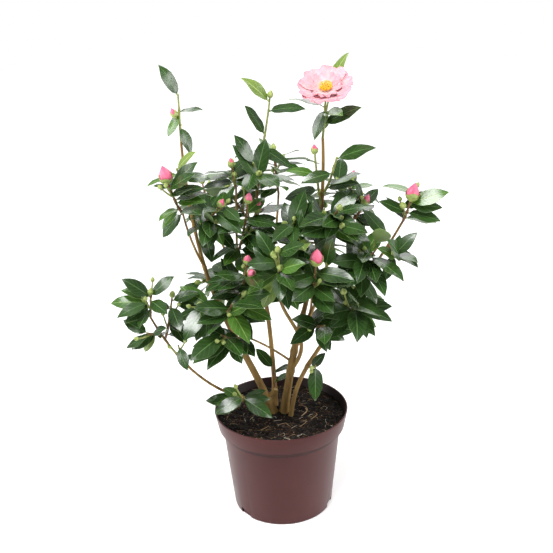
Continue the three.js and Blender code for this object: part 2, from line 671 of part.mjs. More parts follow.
// Leaves stand round each twig in a spiral, closer together towards its tip, and the last one looks forward.
function growLeaves(mass, masses, taken) {
  const { row, random } = mass;
  const shoots = mass.twigs.map((twig) => ({ ...twig, leaves: row.twig ?? SHOOT.leaves }));
  const twigs = [{ ...mass.stem, leaves: row.leaves }, ...shoots];
  for (const twig of twigs) {
    const named = Array.isArray(twig.leaves) ? twig.leaves : null;
    const count = named ? named.length : twig.leaves;
    const first = 360 * random();
    for (let i = 0; i < count; i++) {
      const rank = count > 1 ? i / (count - 1) : 1;
      const last = i === count - 1 && (row.end === "leaf" || count === SHOOT.leaves);
      const draw = {
        share: mix(LEAF.span[0], last ? LEAF.tip : LEAF.span[1], rank ** LEAF.crowd),
        spread: (last ? LEAF.ahead : mix(...LEAF.spread, rank)) + 16 * (random() - 0.5),
        hang: LEAF.hang * random(),
        roll: 2 * LEAF.roll * (random() - 0.5),
        bend: mix(...LEAF.bend, random()),
        length: (row.leaf ?? LEAF.full) * mix(...LEAF.length, random()),
        slope: LEAF.slope,
      };
      let round = first + GROWTH.spiral * i + 30 * (random() - 0.5);
      if (named) {
        [draw.share, round, draw.length, draw.spread, draw.roll = draw.roll] = named[i];
        draw.hang = 0;
        draw.slope = 1;
      }
      for (let turn = 0; turn < GROWTH.tries; turn++) {
        const leaf = leafAt(mass, twig, draw, round + turn * GROWTH.turn);
        if (!keepsItsSpace(leaf, masses) || !isFree(leaf.thing, taken, GROWTH.room)) continue;
        if (mass.blades.some((other) => roomBetween(leaf.thing, other.thing) < 0)) continue;
        mass.blades.push(leaf);
        taken.push(leaf.thing);
        break;
      }
    }
  }
}

function massSolid(limbs, mass) {
  const pieces = [
    bar(mass.stem.path, mass.stem.radius, 3, TWIG.steps),
    ...mass.twigs.map((twig) => bar(twig.path, twig.radius, 3, 2)),
    ...mass.blades.map(bladeSolid),
    ...mass.buds.map(({ bud, root, way }) => budSolid(bud, root, way)),
    ...(mass.flower ? [flowerSolid(mass.flower.root, mass.flower.way)] : []),
  ];
  const fused = pieces.reduce((a, b) => a.add(b)).asOriginal().simplify(CLEAR);
  return largest(cutToCarrier(fused, limbs[mass.row.on]).asOriginal().simplify(TIDY));
}

// ---------------------------------------------------------------- pot and soil

// The pot's wall as radius and height, from the floor up, `inside` mm in from its outer face.
function wallLine(inside) {
  const bandFoot = POT.height - POT.bandHeight;
  const slope = inside * 0.4;
  return [
    [POT.baseRadius - inside, inside],
    [POT.shoulderRadius - inside, bandFoot - POT.stepHeight + slope],
    [POT.bandRadius - inside, bandFoot + slope],
    [POT.rimRadius - inside, POT.height],
  ].map(([r, z]) => new THREE.Vector2(r, z));
}

function potSolid() {
  const outer = wallLine(0);
  const inner = wallLine(POT.wall).reverse();
  const corner = [0, 30, 60, 90].map(
    (angle) =>
      new THREE.Vector2(
        POT.baseRadius - POT.corner + POT.corner * Math.sin(angle * DEGREE),
        POT.corner - POT.corner * Math.cos(angle * DEGREE),
      ),
  );
  const lip = [0, 45, 90, 135, 180].map(
    (angle) =>
      new THREE.Vector2(
        POT.rimRadius - POT.wall / 2 + (POT.wall / 2) * Math.cos(angle * DEGREE),
        POT.height - POT.wall / 2 + (POT.wall / 2) * Math.sin(angle * DEGREE),
      ),
  );
  const profile = [
    new THREE.Vector2(0, 0),
    ...corner,
    outer[1],
    outer[2],
    ...lip,
    inner[1],
    inner[2],
    inner[3],
    new THREE.Vector2(0, POT.wall),
  ];
  let pot = solidOf(upright(new THREE.LatheGeometry(profile, POT.facets)));
  for (let i = 0; i < DRAIN.count; i++) {
    const angle = (DRAIN.first + (i * 360) / DRAIN.count - 90) * DEGREE;
    const notch = new THREE.BoxGeometry(DRAIN.depth, DRAIN.width, 2 * DRAIN.height);
    notch.translate(POT.baseRadius, 0, 0);
    notch.rotateZ(angle);
    pot = pot.subtract(solidOf(notch));
  }
  return pot;
}

// The soil fills the pot from its floor to SOIL_LEVEL, CLEAR mm off the wall.
function soilSolid() {
  const [foot, shoulder, band, rim] = wallLine(POT.wall + CLEAR + 0.2);
  const share = (SOIL_LEVEL - band.y) / (rim.y - band.y);
  const edge = new THREE.Vector2(mix(band.x, rim.x, share), SOIL_LEVEL);
  const profile = [new THREE.Vector2(0, POT.wall + CLEAR), new THREE.Vector2(foot.x, POT.wall + CLEAR)];
  profile.push(shoulder, band, edge, new THREE.Vector2(0, SOIL_LEVEL));
  return solidOf(upright(new THREE.LatheGeometry(profile, POT.facets)));
}

// A LatheGeometry turns round Y: this stands it on Z, with its facets' flats to the front.
function upright(geometry) {
  return geometry.rotateX(Math.PI / 2);
}

// ---------------------------------------------------------------- the assembly

const MATERIALS = {
  pot: new THREE.MeshStandardMaterial({ color: COLOUR.pot, roughness: 0.42, metalness: 0 }),
  soil: new THREE.MeshStandardMaterial({ color: COLOUR.soil, roughness: 1, metalness: 0 }),
  bark: new THREE.MeshStandardMaterial({ color: COLOUR.bark, roughness: 0.85, metalness: 0 }),
  leaf: new THREE.MeshStandardMaterial({ color: COLOUR.leaf, roughness: 0.3, metalness: 0 }),
};

function node(name, solid, material) {
  const mesh = new THREE.Mesh(geometryOf(solid), material);
  mesh.name = name;
  return mesh;
}

const camellia = new THREE.Group();
camellia.add(node("pot", potSolid(), MATERIALS.pot));
camellia.add(node("soil", soilSolid(), MATERIALS.soil));
const limbs = growLimbs();
for (const [name, limb] of Object.entries(limbs)) {
  camellia.add(node(name, limbSolid(limbs, limb), MATERIALS.bark));
}
for (const [name, mass] of Object.entries(growMasses(limbs))) {
  camellia.add(node(name, massSolid(limbs, mass), MATERIALS.leaf));
}

export default camellia;
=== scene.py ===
# %% [markdown]
# # A camellia in its nursery pot
# The plant is a young camellia: a plastic pot, soil, four stems that fork into boughs, and glossy leaves
# with buds and one open flower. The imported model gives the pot, the limbs and coarse masses of foliage.
# This lesson dresses it. Everything is placed in the model's own frame, so nothing is fitted by eye: +Z
# is up, -Y is the front, and the origin is the middle of the pot's underside. Sizes below are
# millimetres.

# %% The frame
import math

import bpy
import numpy as np
from mathutils import Matrix, Vector


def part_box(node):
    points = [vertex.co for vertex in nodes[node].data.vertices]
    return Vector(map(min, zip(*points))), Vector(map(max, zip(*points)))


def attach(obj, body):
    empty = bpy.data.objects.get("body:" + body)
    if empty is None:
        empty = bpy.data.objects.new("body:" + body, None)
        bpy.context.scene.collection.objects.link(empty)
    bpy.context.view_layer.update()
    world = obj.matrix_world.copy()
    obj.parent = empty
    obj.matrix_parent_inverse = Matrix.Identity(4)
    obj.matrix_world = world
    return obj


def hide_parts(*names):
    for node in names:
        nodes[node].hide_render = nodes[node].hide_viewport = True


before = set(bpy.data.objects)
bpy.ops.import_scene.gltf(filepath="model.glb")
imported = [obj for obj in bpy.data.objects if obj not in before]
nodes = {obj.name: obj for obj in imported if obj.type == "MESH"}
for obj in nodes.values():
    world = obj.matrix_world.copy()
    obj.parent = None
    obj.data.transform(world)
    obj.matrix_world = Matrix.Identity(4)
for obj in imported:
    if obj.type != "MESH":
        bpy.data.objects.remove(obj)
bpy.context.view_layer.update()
bpy.ops.object.select_all(action="DESELECT")

MM = 0.001
TAU = 2 * math.pi
foliage_nodes = sorted(name for name in nodes if name.startswith("foliage"))
limb_nodes = sorted(name for name in nodes if name.startswith(("stem", "bough")))
print("frame:", len(nodes), "nodes,", len(foliage_nodes), "masses of foliage,", len(limb_nodes), "limbs")


# %% Shader nodes in one line
def add_node(tree, kind, values=None, **settings):
    """A shader node of a kind, with its settings and the values of its unlinked inputs."""
    node = tree.nodes.new("ShaderNode" + kind)
    for setting, value in settings.items():
        setattr(node, setting, value)
    for socket, value in (values or {}).items():
        node.inputs[socket].default_value = value
    return node


RANGE = ("From Min", "From Max", "To Min", "To Max")


def join(tree, *pairs):
    """Links each output to its input."""
    for output, socket in pairs:
        tree.links.new(output, socket)


# %% [markdown]
# ## Camera, floor and light
# The camera stands over a metre in front of the pot, a little higher than the flower, and looks down, so
# that the pot's mouth shows as an oval. The light is a studio's: a dim room, a tall soft lamp on each
# side that draws a pale strip down the pot, one over the front that puts the gloss on the leaves, and one
# behind.

# %% Camera
CAMERA = {"place": (-1.5, -1340, 920), "down": 20.6, "roll": -1.63, "lens": 57.8}


def add_camera():
    down, roll = math.radians(CAMERA["down"]), math.radians(CAMERA["roll"])
    ahead = Vector((0, math.cos(down), -math.sin(down)))
    up = Vector((0, math.sin(down), math.cos(down)))
    right = Vector((1, 0, 0))
    turned = right * math.cos(roll) + up * math.sin(roll)
    upright = up * math.cos(roll) - right * math.sin(roll)
    bpy.ops.object.camera_add()
    camera = bpy.context.object
    camera.matrix_world = Matrix.Translation(Vector(CAMERA["place"]) * MM) @ Matrix(
        (turned, upright, -ahead)
    ).transposed().to_4x4()
    camera.data.lens = CAMERA["lens"]
    camera.data.clip_start = 0.01
    bpy.context.scene.camera = camera
    return camera


camera = add_camera()
print("camera at", [round(v, 3) for v in camera.location])

# %% Light
LAMPS = {
    "left": {"place": (-1500, -500, 900), "size": (400, 1600), "power": 22},
    "right": {"place": (1500, -400, 900), "size": (350, 1600), "power": 19},
    "over": {"place": (-250, -700, 2100), "size": (800, 600), "power": 36},
    "behind": {"place": (300, 1500, 1400), "size": (1800, 800), "power": 12},
}
AIM = Vector((0, 0, 0.35))
ROOM = {"front": 0.14, "back": 0.45, "fade": (-0.8, 0.4)}


def add_lamp(name, place, size, power):
    bpy.ops.object.light_add(type="AREA", location=Vector(place) * MM)
    lamp = bpy.context.object
    lamp.name = "lamp_" + name
    lamp.rotation_euler = (AIM - lamp.location).to_track_quat("-Z", "Y").to_euler()
    lamp.data.shape = "RECTANGLE"
    lamp.data.size, lamp.data.size_y = size[0] * MM, size[1] * MM
    lamp.data.energy = power


def light_room(front, back, fade):
    """A white room, dim in front of the plant and brighter behind it. Seen directly, it is plain white."""
    world = bpy.data.worlds.new("studio")
    bpy.context.scene.world = world
    world.use_nodes = True
    tree, white = world.node_tree, (1, 1, 1, 1)
    room, backdrop = tree.nodes["Background"], add_node(tree, "Background", {"Color": white})
    room.inputs["Color"].default_value = white
    way, split = add_node(tree, "TexCoord"), add_node(tree, "SeparateXYZ")
    ramp = add_node(tree, "MapRange", dict(zip(RANGE, (*fade, front, back))))
    seen, choice = add_node(tree, "LightPath"), add_node(tree, "MixShader")
    join(
        tree,
        (way.outputs["Generated"], split.inputs[0]),
        (split.outputs["Y"], ramp.inputs["Value"]),
        (ramp.outputs["Result"], room.inputs["Strength"]),
        (seen.outputs["Is Camera Ray"], choice.inputs["Fac"]),
        (room.outputs[0], choice.inputs[1]),
        (backdrop.outputs[0], choice.inputs[2]),
        (choice.outputs[0], tree.nodes["World Output"].inputs["Surface"]),
    )


for name, lamp in LAMPS.items():
    add_lamp(name, **lamp)
light_room(**ROOM)
bpy.context.scene.view_settings.view_transform = "Standard"
print(len(LAMPS), "lamps and a white room")

# %% [markdown]
# ## Finishes
# Every finish is a Principled shader whose colour and relief come from noise on the piece. The
# two effects that several finishes share are made once as node groups: `mottle` deals two colours out in
# soft patches, and `pitting` is a fine height for a Bump node. A group gives out only colours and
# heights. What is the same all over a surface, such as its roughness, is set on the shader itself.

# %% Node groups
def new_group(name, inputs, outputs):
    group = bpy.data.node_groups.new(name, "ShaderNodeTree")
    for title, kind, value in inputs:
        socket = group.interface.new_socket(title, in_out="INPUT", socket_type="NodeSocket" + kind)
        if value is not None:
            socket.default_value = value
    for title, kind in outputs:
        group.interface.new_socket(title, in_out="OUTPUT", socket_type="NodeSocket" + kind)
    return group, group.nodes.new("NodeGroupInput"), group.nodes.new("NodeGroupOutput")


def mottle_group():
    """Two colours dealt out in soft patches."""
    inputs = [
        ("Vector", "Vector", None),
        ("Scale", "Float", 20.0),
        ("Sharpness", "Float", 0.5),
        ("Dark", "Color", (0, 0, 0, 1)),
        ("Light", "Color", (1, 1, 1, 1)),
    ]
    group, given, result = new_group("mottle", inputs, [("Color", "Color")])
    noise, contrast = add_node(group, "TexNoise", {"Detail": 5}), add_node(group, "MapRange", {"To Min": 0})
    low = add_node(group, "Math", {0: 0.5}, operation="SUBTRACT")
    high = add_node(group, "Math", {0: 0.5}, operation="ADD")
    blend = add_node(group, "Mix", data_type="RGBA")
    join(
        group,
        (given.outputs["Vector"], noise.inputs["Vector"]),
        (given.outputs["Scale"], noise.inputs["Scale"]),
        (given.outputs["Sharpness"], low.inputs[1]),
        (given.outputs["Sharpness"], high.inputs[1]),
        (noise.outputs["Fac"], contrast.inputs["Value"]),
        (low.outputs[0], contrast.inputs["From Min"]),
        (high.outputs[0], contrast.inputs["From Max"]),
        (contrast.outputs["Result"], blend.inputs["Factor"]),
        (given.outputs["Dark"], blend.inputs["A"]),
        (given.outputs["Light"], blend.inputs["B"]),
        (blend.outputs["Result"], result.inputs["Color"]),
    )
    return group


def pitting_group():
    """A fine height from coarse and fine noise."""
    inputs = [("Vector", "Vector", None), ("Coarse", "Float", 40.0), ("Fine", "Float", 300.0)]
    group, given, result = new_group("pitting", inputs, [("Height", "Float")])
    total = add_node(group, "Math", operation="ADD")
    for i, title in enumerate(("Coarse", "Fine")):
        noise = add_node(group, "TexNoise", {"Detail": 3})
        join(
            group,
            (given.outputs["Vector"], noise.inputs["Vector"]),
            (given.outputs[title], noise.inputs["Scale"]),
            (noise.outputs["Fac"], total.inputs[i]),
        )
    join(group, (total.outputs[0], result.inputs["Height"]))
    return group


def chain(tree, value, *steps):
    """Math nodes in a row. Each step is an operation and its second number."""
    for operation, number in steps:
        node = add_node(tree, "Math", {1: number}, operation=operation)
        join(tree, (value, node.inputs[0]))
        value = node.outputs[0]
    return value


VEIN = dict(count=9, slant=0.55, thin=0.72, contrast=3.5)


def vein_group():
    """The side veins of a leaf, slanted forward from its midrib, as a mask on the blade's own UV."""
    group, given, result = new_group("veins", [("Vector", "Vector", None)], [("Mask", "Float")])
    split, slant = add_node(group, "SeparateXYZ"), add_node(group, "Math", operation="SUBTRACT")
    aside = chain(group, split.outputs["X"], ("SUBTRACT", 0.5), ("ABSOLUTE", 0), ("MULTIPLY", VEIN["slant"]))
    lines = chain(group, slant.outputs[0], ("MULTIPLY", VEIN["count"] * TAU), ("SINE", 0))
    mask = chain(group, lines, ("SUBTRACT", VEIN["thin"]), ("MULTIPLY", VEIN["contrast"]), ("MAXIMUM", 0))
    join(
        group,
        (given.outputs["Vector"], split.inputs[0]),
        (split.outputs["Y"], slant.inputs[0]),
        (aside, slant.inputs[1]),
        (mask, result.inputs["Mask"]),
    )
    return group


MOTTLE, PITTING, VEINS = mottle_group(), pitting_group(), vein_group()
print("node groups:", [group.name for group in (MOTTLE, PITTING, VEINS)])


# %% A finish from its values
def linear(red, green, blue):
    """A colour as it looks on a screen, 0 to 255, as the light values that a shader takes."""
    steps = [v / 255 for v in (red, green, blue)]
    return tuple(v / 12.92 if v <= 0.04045 else ((v + 0.055) / 1.055) ** 2.4 for v in steps) + (1,)


def finish(name, dark, light, scale, sharpness=0.25, stretch=(1, 1, 1), relief=0.2, coarse=60, fine=400,
           depth=0.3, **surface):
    """A Principled material, mottled from dark to light, with a fine relief. `surface` sets its sockets."""
    material = bpy.data.materials.new(name)
    material.use_nodes = True
    tree = material.node_tree
    shader = tree.nodes["Principled BSDF"]
    for socket, value in surface.items():
        shader.inputs[socket.replace("_", " ")].default_value = value
    place, mapping = add_node(tree, "TexCoord"), add_node(tree, "Mapping", {"Scale": stretch})
    colours = {"Scale": scale, "Sharpness": sharpness, "Dark": linear(*dark), "Light": linear(*light)}
    mottle = add_node(tree, "Group", colours, node_tree=MOTTLE)
    pitting = add_node(tree, "Group", {"Coarse": coarse, "Fine": fine}, node_tree=PITTING)
    bump = add_node(tree, "Bump", {"Strength": relief, "Distance": depth * MM})
    join(
        tree,
        (place.outputs["Object"], mapping.inputs["Vector"]),
        (mapping.outputs["Vector"], mottle.inputs["Vector"]),
        (mapping.outputs["Vector"], pitting.inputs["Vector"]),
        (mottle.outputs["Color"], shader.inputs["Base Color"]),
        (pitting.outputs["Height"], bump.inputs["Height"]),
        (bump.outputs["Normal"], shader.inputs["Normal"]),
    )
    return material


# %% [markdown]
# ## The growth rule
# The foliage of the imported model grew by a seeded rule: each mass has one stem, side twigs, leaves in a
# spiral and a bud or the flower at the end. The same rule runs again here from the same seeds, so that
# the fine leaves stand where the coarse ones do. Its arithmetic is done in double precision, and its
# numbers come from a small generator on whole numbers, which gives the same row in any language.

# %% Curves and random numbers
UP = np.array((0.0, 0.0, 1.0))
AWAY = np.array((0.0, 1.0, 0.0))
DEGREE = math.pi / 180
WORD = 0xFFFFFFFF


def mix(a, b, t):
    return a + (b - a) * t


def unit(v):
    return v / math.sqrt(float(v @ v))


def random_from(seed):
    """A seeded source of numbers from 0 to 1."""
    state = seed & WORD

    def draw():
        nonlocal state
        state = (state + 0x6D2B79F5) & WORD
        t = ((state ^ (state >> 15)) * (state | 1)) & WORD
        t ^= (t + (((t ^ (t >> 7)) * (t | 61)) & WORD)) & WORD
        return ((t ^ (t >> 14)) & WORD) / (WORD + 1)

    return draw


class Path:
    """A curve to a tip. `bow` is how far its middle stands off, and `sway` the width of an S along X."""

    def __init__(self, start, tip, bow=(0, 0, 0), sway=0):
        self.start, self.tip = np.array(start, float), np.array(tip, float)
        self.bow, self.sway = np.array(bow, float), sway
        self.length = float(np.linalg.norm(self.tip - self.start))

    def place(self, t):
        belly = self.bow * (4 * t * (1 - t))
        swing = np.array((self.sway * math.sin(TAU * t), 0.0, 0.0))
        return self.start + (self.tip - self.start) * t + belly + swing

    def heading(self, t):
        return unit(self.place(t + 0.01) - self.place(t - 0.01))


def across(heading):
    """Two directions square to a heading."""
    side = unit(np.cross(heading, AWAY))
    return side, np.cross(side, heading)


# %% [markdown]
# The stems stand on the soil. Each bough leaves a limb at a share of its length, 1 being the tip, and
# tapers to its own tip. A stem flares where it meets the soil.

# %% Stems and boughs
SOIL_LEVEL = 165
CLEAR = 0.3
LIMBS = {
    "stem_left": dict(
        foot=(-12, 4), tip=(-111, -15, 423), bow=(-2, 0, 0), sway=2, thick=(6.8, 3.6), flare=1.8
    ),
    "stem_centre": dict(foot=(5, 4), tip=(30, 0, 312), bow=(-1, 0, 0), thick=(7.6, 5), flare=1.4),
    "stem_right": dict(
        foot=(16, -10), tip=(123, -10, 393), bow=(-9, 0, 5), sway=-6, thick=(3.8, 2.9), flare=0.8,
    ),
    "stem_back": dict(foot=(-10, 28), tip=(-26, 44, 400), bow=(4, 4, 0), thick=(4.4, 3.3), flare=1.6),
    "bough_left_tall": dict(on="stem_left", at=1, tip=(-141, 0, 640), bow=(-6, 0, 0), thick=(3.2, 1.9)),
    "bough_left_outer": dict(
        on="bough_left_tall", at=0.08, tip=(-142, -32, 535), bow=(-3, -2, 0), thick=(2.1, 1.5)
    ),
    "bough_inner_left": dict(on="stem_left", at=0.5, tip=(-61, 15, 560), bow=(-2, 4, 0), thick=(2.6, 1.6)),
    "bough_mid_left": dict(on="stem_back", at=1, tip=(-20, 30, 615), bow=(-8, 0, 0), thick=(3.2, 1.9)),
    "bough_flower": dict(on="stem_centre", at=1, tip=(75, 0, 640), bow=(14, 8, 0), thick=(4.4, 2.2)),
    "bough_twist": dict(
        on="stem_centre", at=0.55, tip=(1, -65, 443), bow=(14, 0, 0), sway=12, thick=(3.6, 2.3)
    ),
    "bough_front_right": dict(
        on="bough_flower", at=0.06, tip=(52, -60, 400), bow=(4, -6, -6), thick=(2.6, 1.8)
    ),
    "bough_thin_left": dict(on="stem_centre", at=0.66, tip=(-56, -40, 331), bow=(0, 0, 4), thick=(2.1, 1.5)),
    "bough_right_out": dict(on="stem_right", at=1, tip=(194, -25, 507), bow=(2, 0, -3), thick=(2.6, 1.8)),
    "bough_right_up": dict(on="stem_right", at=0.92, tip=(120, 5, 506), bow=(-3, 4, 0), thick=(2.3, 1.6)),
    "bough_low": dict(on="stem_left", at=0.1, tip=(-203, -45, 371), bow=(-12, 0, -37), thick=(2.7, 1.7)),
    "bough_back_left": dict(on="stem_back", at=0.7, tip=(-105, 120, 470), bow=(-8, 8, -8), thick=(2.9, 1.8)),
    "bough_back_mid": dict(on="stem_back", at=0.86, tip=(6, 128, 520), bow=(4, 12, -6), thick=(2.7, 1.8)),
    "bough_back_right": dict(
        on="stem_centre", at=0.8, tip=(104, 112, 470), bow=(8, 10, -10), thick=(3, 1.8)
    ),
}
FLARE_FADE = 14


def grow_limbs():
    """Each limb's path and its radius along it, with the carrying limbs first."""
    limbs = {}
    for name, row in LIMBS.items():
        if "foot" in row:
            start = (*row["foot"], SOIL_LEVEL + CLEAR)
        else:
            start = limbs[row["on"]]["path"].place(row["at"])
        path = Path(start, row["tip"], row["bow"], row.get("sway", 0))
        limbs[name] = {"path": path, "row": row}
        limbs[name]["radius"] = taper(*row["thick"], row.get("flare", 0), path.length)
    return limbs


def taper(foot, tip, flare=0, length=1):
    """A radius that runs from foot to tip, wider at the foot by a flare that fades."""
    return lambda t: mix(foot, tip, t) + flare * math.exp(-t * length / FLARE_FADE)


limbs = grow_limbs()
total = sum(limb["path"].length for limb in limbs.values())
print(len(limbs), "limbs,", round(total), "mm in all")

# %% [markdown]
# Each mass of foliage has one row: the limb `on` which it grows, `at` which share of its length, and the
# `tip` of its own stem. `leaves` counts those on that stem, and `leaf` is the length of a full one. On
# the open sprays it lists each leaf instead: its share of the stem, degrees round it (0 is left of an
# upright stem, 90 behind, 180 right, 270 in front), its length, degrees off the stem, and for a few how
# far it rolls to one side. `shoots` counts the side twigs, `side` adds one that ends in the bud it names,
# `twig` lists the leaves of each, and `end` is what closes the stem. `reach` and `turn` set the length of
# the side twigs and the way the first one points.

